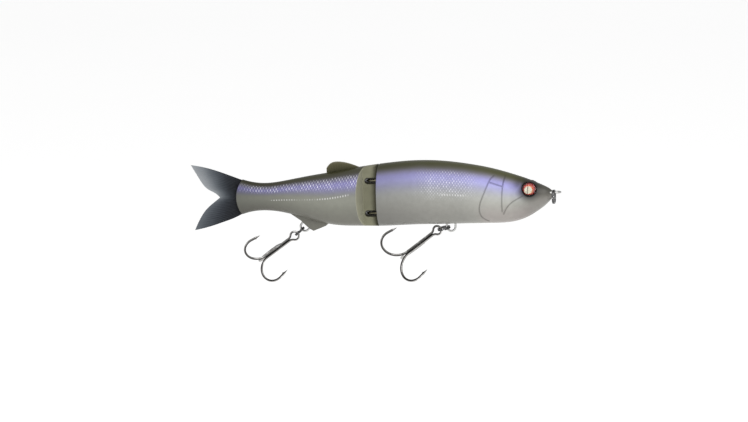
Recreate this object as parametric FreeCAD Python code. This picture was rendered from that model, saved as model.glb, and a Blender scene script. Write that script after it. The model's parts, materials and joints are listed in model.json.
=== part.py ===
import FreeCAD
import Part
import os
from math import acos, cos, degrees, pi, radians, sin, sqrt

# Two-piece jointed swimbait: a hollow hard-plastic fish in a front and a rear section that swing on
# one upright pin, with a soft forked tail, a soft back fin, two treble hooks on split rings and a
# wire line tie at the nose.
#
# Row frame, millimetres: +X forward (the way the fish swims), +Y to the fish's left, +Z up.
# Origin: centre of the bend of the line-tie wire, on the fish's middle plane.
# "Station" is the distance behind the tip of the nose. at() turns a station into a point.

V = FreeCAD.Vector
FORWARD = V(1, 0, 0)
LEFT = V(0, 1, 0)
UP = V(0, 0, 1)

# ---------------------------------------------------------------- driving dimensions
# Hull: table of offsets, one row a station: station, back height, belly height, half width. The
# stations are stretched to the body's length, and the half widths to its widest one.
BODY_LENGTH = 158.0
BODY_HALF_WIDTH = 11.5
HULL = [
    (0.0, 0.5, -2.3, 1.4),
    (0.7, 1.4, -3.5, 2.4),
    (2.0, 2.3, -4.9, 3.4),
    (4.0, 3.3, -6.7, 4.4),
    (7.0, 4.6, -8.9, 5.6),
    (12.0, 6.6, -11.9, 7.2),
    (20.0, 9.2, -14.4, 9.1),
    (30.0, 11.9, -15.0, 10.4),
    (42.0, 14.1, -15.2, 11.2),
    (56.0, 15.6, -15.5, 11.5),
    (70.0, 15.6, -15.8, 11.5),
    (84.0, 14.2, -16.4, 11.0),
    (96.0, 12.4, -16.4, 10.2),
    (108.0, 10.2, -15.9, 9.0),
    (120.0, 8.2, -13.3, 7.4),
    (132.0, 5.9, -10.1, 5.7),
    (143.0, 4.6, -8.9, 4.6),
    (150.0, 5.4, -9.7, 4.2),
    (158.0, 7.8, -12.4, 4.0),
]
SECTION_POINTS = 14       # spans round half a section
BACK_FULLNESS = 2.05      # exponent of the section above its widest height, 2 is an ellipse
BELLY_FULLNESS = 2.25     # and below it
WIDEST_RISE = 0.10        # widest height above mid height, as a share of the half height
SHELL_WALL = 2.0          # moulded wall of the two body halves
RIB = 1.6                 # moulded cross ribs
MARGIN = 2.0              # how far a cutting shape runs past what it cuts
CUT_REACH = 40.0          # half extent of a cutting shape that runs right through

# Line tie: a wire link lying flat in the nose, and the split ring on its right-hand leg.
TIE_WIRE = 0.55           # wire radius
TIE_BEND = 1.85           # bend radius at the wire's middle
TIE_REACH = 2.05          # bend centre ahead of the nose tip
TIE_ROOT = 6.5            # station of the bend centre buried in the nose
NOSE_RING_STATION = -1.0
NOSE_RING_OUTER = 3.5     # outer radius

# Body joint: an upright pin in the rear section's tongue, two wire eyes from the front section.
PIVOT = 89.8              # station of the pin
PIN_RADIUS = 0.8
PIN_TOP = 9.6
PIN_BOTTOM = -13.6
PIN_CLEARANCE = 0.1       # eye to pin, radial
EYE_WIRE = 0.6
EYE_HEIGHTS = {"upper": 5.9, "lower": -10.1}
EYE_ROOT = 79.5           # station of the eyes' buried bend
EYE_COVER = 2.9           # solid plastic ahead of the eyes' buried bend
SLOT_HALF = 1.6           # half height of the tongue's slots
SLOT_GAP = 0.4            # slot end to eye
TONGUE_HALF = 4.0         # half thickness of the tongue, and the radius of its round front
TONGUE_GAP = 0.6          # tongue to the front section's hollow
RIM = 85.6                # station of the front section's rear rim
SHOULDER_ROOT = 93.2      # station where the shoulder leaves the tongue
SHOULDER_RAKE = 2.4       # how far the shoulder falls back over SHOULDER_SPAN
SHOULDER_SPAN = 6.4
SWING = 45.0              # degrees each way

# Hook hangers: wire links in the body's middle plane.
HANGER_WIRE = 0.55
HANGER_BEND = 2.15
FRONT_HANGER = (50.3, 1.51)       # station of the outer bend centre, and its drop below the belly
FRONT_HANGER_DEPTH = 7.6          # inner bend centre from the outer one
REAR_HANGER = (122.9, 4.42)
REAR_HANGER_DEPTH = 6.6
REAR_HANGER_ANGLE = 47.0          # below the horizontal, pointing back
HANGER_BLOCK = (5.7, 7.1)         # solid plastic ahead of and behind the front hanger
HANGER_COVER = 0.6                # solid plastic over a hanger's buried bend

# Split rings: two turns of flat wire.
FRONT_RING_OUTER = 3.25
REAR_RING_OUTER = 3.0
RING_WIDTH = 0.8          # radial
RING_TURN = 0.55          # thickness of one turn
RING_SPLIT = 0.06         # between the turns
RING_RAMP = 24.0          # degrees over which one turn crosses to the other
LINK_PLAY = 0.1           # between linked wires
RING_ROUND = 0.16         # rounding of the flat wire's corners

# How the tackle lies at rest, in degrees: below the horizontal, pointing back and swung to the
# fish's left, then rolled about its own length.
FRONT_RING_LIE = (12.0, 0.0, -8.0)
REAR_RING_LIE = (42.0, -18.0, 0.0)
FRONT_HOOK_LIE = (36.5, 12.0, 2.0)
REAR_HOOK_LIE = (36.0, 6.0, -6.0)

# Treble hooks: overall length, reach of a bend from the middle of the shanks, wire radius.
FRONT_TREBLE = {"length": 30.0, "reach": 16.2, "wire": 0.62}
REAR_TREBLE = {"length": 27.0, "reach": 14.0, "wire": 0.58}
HOOK_EYE_BEND = 2.1
HOOK_NECK_BEND = 3.0
HOOK_LEAN = 10.0          # degrees the point leans towards the shank
HOOK_POINT = 5.4          # length of the point above the bend
HOOK_TAPER = 3.2          # sharpened part of the point
HOOK_TIP = 0.05           # radius of the needle tip
SINGLE_START = 1.8        # blunt end of the brazed shank below the neck
BARB_LENGTH = 1.5
BARB_RISE = 0.45
BARB_HALF = 0.18          # half thickness
BARB_HANG = 0.15          # how far the barb's tip lies behind its root
BARB_FOOT = 0.3           # share of the wire radius at which the barb is rooted
SHANK_SQUEEZE = 0.94      # shank spacing as a share of two wire diameters' touch
BRAZE = 0.85              # braze core as a share of the wire radius

# Hollows: stations of their ends and of the ribs, where nothing else sets them.
FRONT_HOLLOW_START = 15.5
FRONT_RIB = 26.0
REAR_HOLLOW_START = 9.2   # behind the pin
REAR_RIB = 111.0
REAR_SECOND_RIB = 130.0

# Ballast: round slugs through the ribs.
SLUG_HEIGHT = -8.7
SLUG_RADIUS = 4.3
SLUG_SEAT = 0.4           # how deep a slug's end sits in a rib
FORE_SLUG_REACH = 1.0     # ahead of the front rib
AFT_SLUG_REACH = 1.5      # behind the last front hollow
REAR_SLUG_LENGTH = 13.0
REAR_SLUG_RADIUS = 3.6

# Eyes: printed disc under a clear dome, set square to the flank.
EYE_STATION = 10.5
EYE_HEIGHT = 2.3
EYE_RADIUS = 3.85
EYE_DEPTH = 1.5           # socket below the flank
DISC_THICKNESS = 0.5
DOME_RISE = 1.1           # dome above its straight edge
DOME_EDGE = 1.0

# Tail end and tail fin. The fin's edges are lists of (behind the tail end, height).
TAIL_TRIM = 1.8           # from the round tail end to the end of the hull's table
TAIL_END_RADIUS = 17.0
TAIL_END_HEIGHT = -2.4
SOCKET_DEPTH = 8.8
SOCKET_HALF = 1.5
SOCKET_TOP = 2.6
SOCKET_BOTTOM = -7.4
POST_RADIUS = 1.3
POST_DEPTH = 5.4          # ahead of the tail end
FIN_HALF = 0.9            # half thickness of the tail blade
TAIL_TIPS = ((23.0, 13.4), (21.5, -18.7))
TAIL_NOTCH = (8.7, -2.5)
TAIL_TOP_EDGE = [(-3.2, 5.6), (0.8, 7.2), (8.0, 9.8), (15.8, 12.1), TAIL_TIPS[0]]
TAIL_UPPER_MARGIN = [TAIL_TIPS[0], (19.3, 7.3), (14.7, 1.5), (10.9, -0.6), TAIL_NOTCH]
TAIL_LOWER_MARGIN = [TAIL_NOTCH, (11.0, -4.4), (14.9, -7.7), (18.7, -12.9), TAIL_TIPS[1]]
TAIL_FOOT_EDGE = [TAIL_TIPS[1], (14.4, -17.0), (6.8, -14.5), (0.8, -12.2), (-4.2, -10.2)]

# Back fin: its free edge as (station, rise over the back), and its root in its slot.
DORSAL_HALF = 1.1
DORSAL_ROOT = 2.6
DORSAL_ROOT_INSET = (2.0, 1.0)    # from the fin's front and rear
DORSAL_EDGE = [(95.4, 0.0), (100.6, 2.74), (105.6, 4.47), (109.6, 4.37), (111.6, 2.4),
               (111.0, -0.1)]

# Keel under the rear section, which carries the rear hook hanger: (station, drop below the belly).
KEEL_HALF = 1.8
KEEL = [(131.5, -2.21), (130.4, -0.46), (124.7, 1.83), (120.6, 4.57), (118.4, 5.16),
        (112.4, 1.33), (109.0, -2.26)]

# ---------------------------------------------------------------- sizes that follow from these
TAIL_END = BODY_LENGTH - TAIL_TRIM
HULL_STATIONS = [row[0] * BODY_LENGTH / HULL[-1][0] for row in HULL]
HULL_WIDEN = BODY_HALF_WIDTH / max(row[3] for row in HULL)


def at(station, y, z):
    """The point at a station, y to the left and z up."""
    return V(-(TIE_REACH + station), y, z)


# ---------------------------------------------------------------- hull
def hull_guide():
    """A curve whose point at sqrt(station) holds the back height, belly height and half width."""
    guide = Part.BSplineCurve()
    guide.interpolate(
        Points=[V(back, belly, half * HULL_WIDEN) for _, back, belly, half in HULL],
        Parameters=[sqrt(station) for station in HULL_STATIONS],
    )
    return guide


GUIDE = hull_guide()


def offsets(station):
    """Back height, belly height, half width and widest height of the hull at a station."""
    found = GUIDE.value(sqrt(station))
    middle = (found.x + found.y) / 2
    return found.x, found.y, found.z, middle + WIDEST_RISE * (found.x - found.y) / 2


def flank(station, z):
    """Half width of the hull at a station and a height."""
    back, belly, half, widest = offsets(station)
    reach, fullness = (back - widest, BACK_FULLNESS) if z > widest else (widest - belly, BELLY_FULLNESS)
    share = min(1.0, abs(z - widest) / reach)
    return half * (1 - share ** fullness) ** (1 / fullness)


def half_section(station, inset, side):
    """One side of the hull at a station, closed by a line on the middle plane."""
    back, belly, half, widest = offsets(station)
    back, belly, half = back - inset, belly + inset, half - inset
    points = []
    for i in range(SECTION_POINTS + 1):
        turn = pi / 2 - pi * i / SECTION_POINTS
        fullness = BACK_FULLNESS if turn > 0 else BELLY_FULLNESS
        reach = back - widest if turn > 0 else widest - belly
        y = half * max(0.0, cos(turn)) ** (2 / fullness)
        z = widest + (1 if turn > 0 else -1) * reach * abs(sin(turn)) ** (2 / fullness)
        points.append(at(station, side * (0.0 if i in (0, SECTION_POINTS) else y), z))
    curve = Part.BSplineCurve()
    curve.interpolate(Points=points, Parameters=[float(i) for i in range(SECTION_POINTS + 1)])
    return Part.Wire([curve.toShape(), Part.makeLine(points[-1], points[0])])


def half_hull(start, end, side, inset=0.0):
    """One side of the hull between two stations, as a solid."""
    between = [s for s in HULL_STATIONS if start + MARGIN / 2 < s < end - MARGIN / 2]
    stations = [start] + between + [end]
    return Part.makeLoft([half_section(s, inset, side) for s in stations], True, False)


def block(start, end, low, high, y_low=-CUT_REACH, y_high=CUT_REACH):
    """A box between two stations, two heights and two sides."""
    corner = at(end, y_low, low)
    return Part.makeBox(end - start, y_high - y_low, high - low, corner)


def hollows(side, chambers):
    """The hollows of one half: the inset hull, kept only inside the chambers. A chamber is the
    stations of its ends and the height of its floor."""
    inner = half_hull(chambers[0][0] - MARGIN, chambers[-1][1] + MARGIN, side, SHELL_WALL)
    return [inner.common(block(start, end, floor, CUT_REACH)) for start, end, floor in chambers]


def only_solid(shape):
    """The one solid that a boolean leaves, tidied."""
    solids = sorted(shape.Solids, key=lambda s: s.Volume)
    return solids[-1]


# ---------------------------------------------------------------- bent wire
class Wire:
    """Round wire bent like a wire bender does it: straights, bends and a sharpened end."""

    def __init__(self, start, heading, radius):
        self.start = start
        self.heading = heading.normalize()
        self.radius = radius
        self.pieces = []

    def face(self):
        return Part.Face(Part.Wire(Part.makeCircle(self.radius, self.start, self.heading)))

    def straight(self, length):
        self.pieces.append(self.face().extrude(self.heading * length))
        self.start = self.start + self.heading * length
        return self

    def bend(self, radius, degrees, axis):
        """Turns the heading about axis by degrees, on a bend of that radius."""
        side = 1 if degrees > 0 else -1
        centre = self.start + axis.cross(self.heading) * (radius * side)
        self.pieces.append(self.face().revolve(centre, axis, degrees))
        turn = FreeCAD.Rotation(axis, degrees)
        self.start = centre + turn.multVec(self.start - centre)
        self.heading = turn.multVec(self.heading)
        return self

    def sharpen(self, length):
        cone = Part.makeCone(self.radius, HOOK_TIP, length, self.start, self.heading)
        self.pieces.append(cone)
        self.start = self.start + self.heading * length
        return self

    def solid(self):
        made = self.pieces[0].multiFuse(self.pieces[1:]) if len(self.pieces) > 1 else self.pieces[0]
        return only_solid(made)


def wire_link(outer, inner, axis, bend, radius):
    """A closed link of round wire: two half-circle bends about outer and inner, joined by legs."""
    along = (inner - outer).normalize()
    length = (inner - outer).Length
    side = axis.cross(along)
    wire = Wire(outer + side * bend, V(along), radius)
    wire.straight(length).bend(bend, -180, axis).straight(length).bend(bend, -180, axis)
    return wire.solid()


def line_tie_eye():
    return wire_link(at(-TIE_REACH, 0, 0), at(TIE_ROOT, 0, 0), UP, TIE_BEND, TIE_WIRE)


def hinge_eye_bend():
    return PIN_RADIUS + PIN_CLEARANCE + EYE_WIRE


def hinge_eye(height):
    outer = at(PIVOT, 0, height)
    return wire_link(outer, at(EYE_ROOT, 0, height), UP, hinge_eye_bend(), EYE_WIRE)


def under_belly(station, drop):
    """The point on the middle plane at a station, this far below the belly."""
    return at(station, 0, offsets(station)[1] - drop)


def front_hanger_centres():
    """The outer bend centre of the front hanger, and its buried one."""
    outer = under_belly(*FRONT_HANGER)
    return outer, outer + UP * FRONT_HANGER_DEPTH


def rear_hanger_centres():
    """The outer bend centre of the rear hanger, and its buried one."""
    outer = under_belly(*REAR_HANGER)
    angle = radians(REAR_HANGER_ANGLE)
    return outer, outer + V(cos(angle), 0, sin(angle)) * REAR_HANGER_DEPTH


def front_hook_hanger():
    return wire_link(*front_hanger_centres(), LEFT, HANGER_BEND, HANGER_WIRE)


def rear_hook_hanger():
    return wire_link(*rear_hanger_centres(), LEFT, HANGER_BEND, HANGER_WIRE)


def over_buried_bend(centre):
    """The height of the hollow's floor over a hanger's buried bend."""
    return centre.z + HANGER_BEND + HANGER_WIRE + HANGER_COVER


def hinge_pin():
    return Part.makeCylinder(PIN_RADIUS, PIN_TOP - PIN_BOTTOM, at(PIVOT, 0, PIN_BOTTOM), UP)


# ---------------------------------------------------------------- split rings
def flat_wire_face(inner, outer, low, high):
    """The rounded rectangular section of the ring's wire, in the local XZ plane."""
    r = RING_ROUND
    k = r * (1 - cos(radians(45)))
    corners = [(outer, low, 1, 1), (outer, high, 1, -1), (inner, high, -1, -1), (inner, low, -1, 1)]
    edges = []
    ends = []
    for x, z, sx, sz in corners:
        first = V(x - sx * r, 0, z)
        second = V(x, 0, z + sz * r)
        middle = V(x - sx * k, 0, z + sz * k)
        order = (first, middle, second) if sx * sz > 0 else (second, middle, first)
        ends.append(order)
        edges.append(Part.Arc(*order).toShape())
    for i, order in enumerate(ends):
        edges.append(Part.makeLine(order[2], ends[(i + 1) % 4][0]))
    return Part.Face(Part.Wire(Part.__sortEdges__(edges)))


def split_ring(outer):
    """A two-turn ring about local Z, centred on its own middle. The crossing is at local -Y."""
    inner = outer - RING_WIDTH
    low = -RING_TURN - RING_SPLIT / 2
    rise = RING_TURN + RING_SPLIT
    section = flat_wire_face(inner, outer, low, low + RING_TURN)
    first_angle = -90 + RING_RAMP / 2
    centre = V(0, 0, 0)
    lower = section.copy()
    lower.rotate(centre, UP, first_angle)
    lower_turn = lower.revolve(centre, UP, 360 - RING_RAMP)
    ramp_start = section.copy()
    ramp_start.rotate(centre, UP, first_angle - RING_RAMP)
    ramp_end = section.copy()
    ramp_end.translate(UP * rise)
    upper = ramp_end.copy()
    upper.rotate(centre, UP, first_angle)
    upper_turn = upper.revolve(centre, UP, 360 - RING_RAMP)
    ramp = Part.makeLoft([ramp_start.OuterWire, upper.OuterWire], True, True)
    return only_solid(lower_turn.multiFuse([ramp, upper_turn]))


def placed(shape, origin, x_axis, z_axis):
    """A copy of shape with its local X and Z turned to these directions and moved to origin."""
    made = shape.copy()
    y_axis = z_axis.cross(x_axis)
    turn = FreeCAD.Rotation(x_axis, y_axis, z_axis, "ZXY")
    made.Placement = FreeCAD.Placement(origin, turn).multiply(made.Placement)
    return made


def lying(lie):
    """The direction that a piece of tackle points in, from how it lies."""
    drop, swing, _ = (radians(a) for a in lie)
    return V(-cos(drop) * cos(swing), sin(swing), -sin(drop) * cos(swing))


def rolled_left(direction, roll):
    """The left-hand direction made square to direction, then rolled about it."""
    square = (LEFT - direction * LEFT.dot(direction)).normalize()
    return FreeCAD.Rotation(direction, roll).multVec(square)


def ring_corner():
    """From the middle of the ring's flat wire to its rounded corner."""
    half_width = RING_WIDTH / 2 - RING_ROUND
    half_height = RING_TURN + RING_SPLIT / 2 - RING_ROUND
    return sqrt(half_width ** 2 + half_height ** 2) + RING_ROUND


def ring_joint(hanger, lie):
    """The middle of the ring's wire where it passes through the hanger."""
    direction = lying(lie)
    flat = V(direction.x, 0, direction.z).normalize()
    return hanger + flat * (HANGER_BEND - HANGER_WIRE - LINK_PLAY - ring_corner())


def hook_joint(hanger, lie, outer):
    """The middle of the ring's wire on the far side, where it passes through the hook's eye."""
    return ring_joint(hanger, lie) + lying(lie) * (2 * outer - RING_WIDTH)


def hung_ring(hanger, lie, outer):
    direction = lying(lie)
    centre = ring_joint(hanger, lie) + direction * (outer - RING_WIDTH / 2)
    normal = direction.cross(rolled_left(direction, lie[2]))
    return placed(split_ring(outer), centre, direction, normal)


def front_split_ring():
    return hung_ring(front_hanger_centres()[0], FRONT_RING_LIE, FRONT_RING_OUTER)


def rear_split_ring():
    return hung_ring(rear_hanger_centres()[0], REAR_RING_LIE, REAR_RING_OUTER)


def nose_split_ring():
    """Hangs square to the line tie, on its right-hand leg."""
    drop = NOSE_RING_OUTER - RING_WIDTH - TIE_WIRE - LINK_PLAY
    centre = at(NOSE_RING_STATION, -TIE_BEND, -drop)
    return placed(split_ring(NOSE_RING_OUTER), centre, V(0, 0, -1), FORWARD)


# ---------------------------------------------------------------- treble hooks
def neck_angle(spread):
    """How far the wire turns outwards at the neck before it turns back round the eye."""
    return acos((spread + HOOK_NECK_BEND) / (HOOK_EYE_BEND + HOOK_NECK_BEND))


def neck_drop(spread):
    """How far the neck, where the two shanks meet, lies below the middle of the eye's far end."""
    return HOOK_EYE_BEND + (HOOK_EYE_BEND + HOOK_NECK_BEND) * sin(neck_angle(spread))


def bend_radius(hook):
    return (hook["reach"] - hook["wire"] * (1 + 2 * SHANK_SQUEEZE / sqrt(3))) / 2


def arm(wire_radius, start, length, out, bend):
    """A shank that runs down from start, and its bend, point and barb. out is the way it opens."""
    axis = V(0, 0, -1).cross(out)
    wire = Wire(start, V(0, 0, -1), wire_radius)
    wire.straight(length - bend).bend(bend, 180 + HOOK_LEAN, axis)
    wire.straight(HOOK_POINT - HOOK_TAPER)
    root = V(wire.start)
    heading = V(wire.heading)
    wire.sharpen(HOOK_TAPER)
    inward = (axis.cross(heading)).normalize()
    spur = [
        root + inward * (wire_radius * BARB_FOOT),
        root + inward * (wire_radius * BARB_FOOT) + heading * BARB_LENGTH,
        root + inward * (wire_radius + BARB_RISE) - heading * BARB_HANG,
    ]
    face = Part.Face(Part.makePolygon(spur + spur[:1]))
    barb = face.extrude(axis * (2 * BARB_HALF))
    barb.translate(axis * -BARB_HALF)
    return only_solid(wire.solid().fuse(barb))


def treble(hook):
    """The eyed double wire with its braze, and the single wire brazed on. The middle of the eye's
    far end is at the origin, the shank runs down local Z and the eye lies in the local XZ plane."""
    wire_radius = hook["wire"]
    spread = wire_radius * SHANK_SQUEEZE
    bend = bend_radius(hook)
    neck = -neck_drop(spread)
    turn = degrees(neck_angle(spread))
    bottom = wire_radius - hook["length"]
    eye = Wire(V(spread, 0, neck), UP, wire_radius)
    eye.bend(HOOK_NECK_BEND, turn, LEFT)
    eye.bend(HOOK_EYE_BEND, -(180 + 2 * turn), LEFT)
    eye.bend(HOOK_NECK_BEND, turn, LEFT)
    double = eye.solid()
    for side in (1, -1):
        out = V(side * sqrt(3) / 2, -0.5, 0)
        double = double.fuse(arm(wire_radius, V(side * spread, 0, neck), neck - bottom, out, bend))
    start = V(0, spread * sqrt(3), neck - SINGLE_START)
    single = arm(wire_radius, start, start.z - bottom, LEFT, bend)
    foot = V(0, spread / sqrt(3), bottom + bend)
    braze = Part.makeCylinder(wire_radius * BRAZE, start.z - SINGLE_START - foot.z, foot, UP)
    double = only_solid(double.fuse(braze).cut(single))
    return double, single


def hung_treble(hook, joint, lie):
    """The treble's two wires hanging on the ring's wire at joint."""
    shank = lying(lie)
    top = joint - shank * (ring_corner() + LINK_PLAY + hook["wire"])
    eye_normal = rolled_left(shank, lie[2])
    return [placed(wire, top, shank.cross(eye_normal), shank * -1) for wire in treble(hook)]


# ---------------------------------------------------------------- eyes, fins, ballast
def eye_axis(side):
    """Centre of the eye on the flank and the outward square to the flank there."""
    step = 0.5
    here = at(EYE_STATION, side * flank(EYE_STATION, EYE_HEIGHT), EYE_HEIGHT)
    aft = at(EYE_STATION + step, side * flank(EYE_STATION + step, EYE_HEIGHT), EYE_HEIGHT)
    above = at(EYE_STATION, side * flank(EYE_STATION, EYE_HEIGHT + step), EYE_HEIGHT + step)
    normal = (aft - here).cross(above - here).normalize()
    return here, normal if normal.y * side > 0 else normal * -1


def eye_floor(side):
    here, normal = eye_axis(side)
    return here - normal * EYE_DEPTH, normal


def eye_socket(side):
    floor, normal = eye_floor(side)
    return Part.makeCylinder(EYE_RADIUS, EYE_DEPTH + EYE_RADIUS, floor, normal)


def eye_disc(side):
    floor, normal = eye_floor(side)
    return Part.makeCylinder(EYE_RADIUS, DISC_THICKNESS, floor, normal)


def eye_dome(side):
    floor, normal = eye_floor(side)
    base = floor + normal * DISC_THICKNESS
    edge = Part.makeCylinder(EYE_RADIUS, DOME_EDGE + DOME_RISE, base, normal)
    ball_radius = (EYE_RADIUS ** 2 + DOME_RISE ** 2) / (2 * DOME_RISE)
    centre = base + normal * (DOME_EDGE + DOME_RISE - ball_radius)
    return only_solid(edge.common(Part.makeSphere(ball_radius, centre)))


def profile_edge(points):
    """A smooth edge through points of the middle plane, each a station and a height."""
    curve = Part.BSplineCurve()
    curve.interpolate([at(s, 0, z) for s, z in points])
    return curve.toShape()


def plate(edges, half):
    """A flat plate on the middle plane with this outline."""
    face = Part.Face(Part.Wire(edges))
    solid = face.extrude(LEFT * (2 * half))
    solid.translate(LEFT * -half)
    return solid


def beyond_tail_end():
    """Everything behind the round end of the rear section."""
    centre = TAIL_END - TAIL_END_RADIUS
    rear = block(centre, TAIL_END + CUT_REACH, -CUT_REACH, CUT_REACH)
    foot = at(centre, -CUT_REACH, TAIL_END_HEIGHT)
    return rear.cut(Part.makeCylinder(TAIL_END_RADIUS, 2 * CUT_REACH, foot, LEFT))


def tail_socket():
    """The slot in the rear section's end, and the tail's tab that fills it."""
    start, end = TAIL_END - SOCKET_DEPTH, TAIL_END + MARGIN
    return block(start, end, SOCKET_BOTTOM, SOCKET_TOP, -SOCKET_HALF, SOCKET_HALF)


def tail_post():
    """The post moulded across the socket, which holds the tail's tab."""
    middle = (SOCKET_TOP + SOCKET_BOTTOM) / 2
    foot = at(TAIL_END - POST_DEPTH, -SOCKET_HALF, middle)
    return Part.makeCylinder(POST_RADIUS, 2 * SOCKET_HALF, foot, LEFT)


def tail_fin():
    edges = []
    for edge in (TAIL_TOP_EDGE, TAIL_UPPER_MARGIN, TAIL_LOWER_MARGIN, TAIL_FOOT_EDGE):
        edges.append(profile_edge([(TAIL_END + behind, z) for behind, z in edge]))
    foot, top = TAIL_FOOT_EDGE[-1], TAIL_TOP_EDGE[0]
    edges.append(Part.makeLine(at(TAIL_END + foot[0], 0, foot[1]), at(TAIL_END + top[0], 0, top[1])))
    blade = only_solid(plate(edges, FIN_HALF).common(beyond_tail_end()))
    return only_solid(blade.fuse(tail_socket()).cut(tail_post()))


def dorsal_fin():
    edge = [(s, offsets(s)[0] + rise) for s, rise in DORSAL_EDGE]
    front, rear = edge[0], edge[-1]
    root = [rear, (rear[0] - DORSAL_ROOT_INSET[1], rear[1] - DORSAL_ROOT),
            (front[0] + DORSAL_ROOT_INSET[0], front[1] - DORSAL_ROOT), front]
    corners = [at(s, 0, z) for s, z in root]
    sides = [Part.makeLine(a, b) for a, b in zip(corners, corners[1:])]
    return plate([profile_edge(edge)] + sides, DORSAL_HALF)


def keel_half(side):
    points = [under_belly(station, drop) for station, drop in KEEL]
    face = Part.Face(Part.makePolygon(points + points[:1]))
    return face.extrude(LEFT * (side * KEEL_HALF))


def slug(start, end, radius):
    return Part.makeCylinder(radius, end - start, at(end, 0, SLUG_HEIGHT), FORWARD)


def front_chambers():
    """Ends and floors of the front section's hollows. Ribs stand between them."""
    buried = front_hanger_centres()[1]
    block_start, block_end = FRONT_HANGER[0] - HANGER_BLOCK[0], FRONT_HANGER[0] + HANGER_BLOCK[1]
    last_end = EYE_ROOT - hinge_eye_bend() - EYE_WIRE - EYE_COVER
    return [
        (FRONT_HOLLOW_START, FRONT_RIB, -CUT_REACH),
        (FRONT_RIB + RIB, block_start - RIB, -CUT_REACH),
        (block_start, block_end, over_buried_bend(buried)),
        (block_end + RIB, last_end, -CUT_REACH),
    ]


def rear_chambers():
    """Ends and floors of the rear section's hollows."""
    buried = rear_hanger_centres()[1]
    return [
        (PIVOT + REAR_HOLLOW_START, REAR_RIB, -CUT_REACH),
        (REAR_RIB + RIB, REAR_SECOND_RIB, over_buried_bend(buried)),
        (REAR_SECOND_RIB + RIB, TAIL_END - SOCKET_DEPTH - SHELL_WALL, -CUT_REACH),
    ]


def ballast_fore():
    second = front_chambers()[1]
    return slug(FRONT_RIB - FORE_SLUG_REACH, second[1] + SLUG_SEAT, SLUG_RADIUS)


def ballast_aft():
    last = front_chambers()[-1]
    return slug(last[0] - SLUG_SEAT, last[1] + AFT_SLUG_REACH, SLUG_RADIUS)


def ballast_rear():
    end = REAR_RIB + RIB
    return slug(end - REAR_SLUG_LENGTH, end, REAR_SLUG_RADIUS)


# ---------------------------------------------------------------- body halves
def front_shell(side):
    """One half of the front section: hollow, with blocks for the wires and ribs for the slugs."""
    shell = half_hull(0.0, RIM, side)
    for hollow in hollows(side, front_chambers()):
        shell = shell.cut(hollow)
    foot = at(PIVOT, 0, -CUT_REACH)
    for_tongue = Part.makeCylinder(TONGUE_HALF + TONGUE_GAP, 2 * CUT_REACH, foot, UP)
    wires = [line_tie_eye(), front_hook_hanger()] + [hinge_eye(h) for h in EYE_HEIGHTS.values()]
    for tool in [for_tongue, eye_socket(side), ballast_fore(), ballast_aft()] + wires:
        shell = shell.cut(tool)
    return only_solid(shell)


def rear_plan():
    """The plan of the rear section: round-fronted tongue, raked shoulders, then wide open."""
    wide = BODY_HALF_WIDTH + MARGIN
    back = BODY_LENGTH + MARGIN
    slope = SHOULDER_RAKE / SHOULDER_SPAN
    shoulder = SHOULDER_ROOT + slope * (wide - TONGUE_HALF)
    right = [at(PIVOT, -TONGUE_HALF, -CUT_REACH), at(SHOULDER_ROOT, -TONGUE_HALF, -CUT_REACH),
             at(shoulder, -wide, -CUT_REACH), at(back, -wide, -CUT_REACH)]
    left = [V(p.x, -p.y, p.z) for p in reversed(right)]
    edges = [Part.makeLine(a, b) for a, b in zip(right + left, (right + left)[1:])]
    front = at(PIVOT - TONGUE_HALF, 0, -CUT_REACH)
    edges.append(Part.Arc(left[-1], front, right[0]).toShape())
    return Part.Face(Part.Wire(edges)).extrude(UP * (2 * CUT_REACH))


def tongue_slot(height):
    """The slot that a hinge eye swings in: open to the front, round at its end."""
    end = PIVOT + hinge_eye_bend() + EYE_WIRE + SLOT_GAP
    front = PIVOT - TONGUE_HALF - MARGIN
    box = block(front, end - SLOT_HALF, height - SLOT_HALF, height + SLOT_HALF)
    foot = at(end - SLOT_HALF, -CUT_REACH, height)
    return box.fuse(Part.makeCylinder(SLOT_HALF, 2 * CUT_REACH, foot, LEFT))


def rear_shell(side):
    """One half of the rear section: tongue, shoulders, keel and tail socket."""
    hull = half_hull(PIVOT - TONGUE_HALF - MARGIN, BODY_LENGTH, side)
    shell = hull.common(rear_plan()).fuse(keel_half(side))
    for hollow in hollows(side, rear_chambers()):
        shell = shell.cut(hollow)
    slots = [tongue_slot(height) for height in EYE_HEIGHTS.values()]
    for tool in slots + [beyond_tail_end(), hinge_pin(), rear_hook_hanger(), ballast_rear(),
                         dorsal_fin(), tail_socket()]:
        shell = shell.cut(tool)
    edge = side * SOCKET_HALF
    near = block(TAIL_END - SOCKET_DEPTH, TAIL_END, SOCKET_BOTTOM, SOCKET_TOP, min(0, edge),
                 max(0, edge))
    return only_solid(shell.fuse(tail_post().common(near)))


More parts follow.
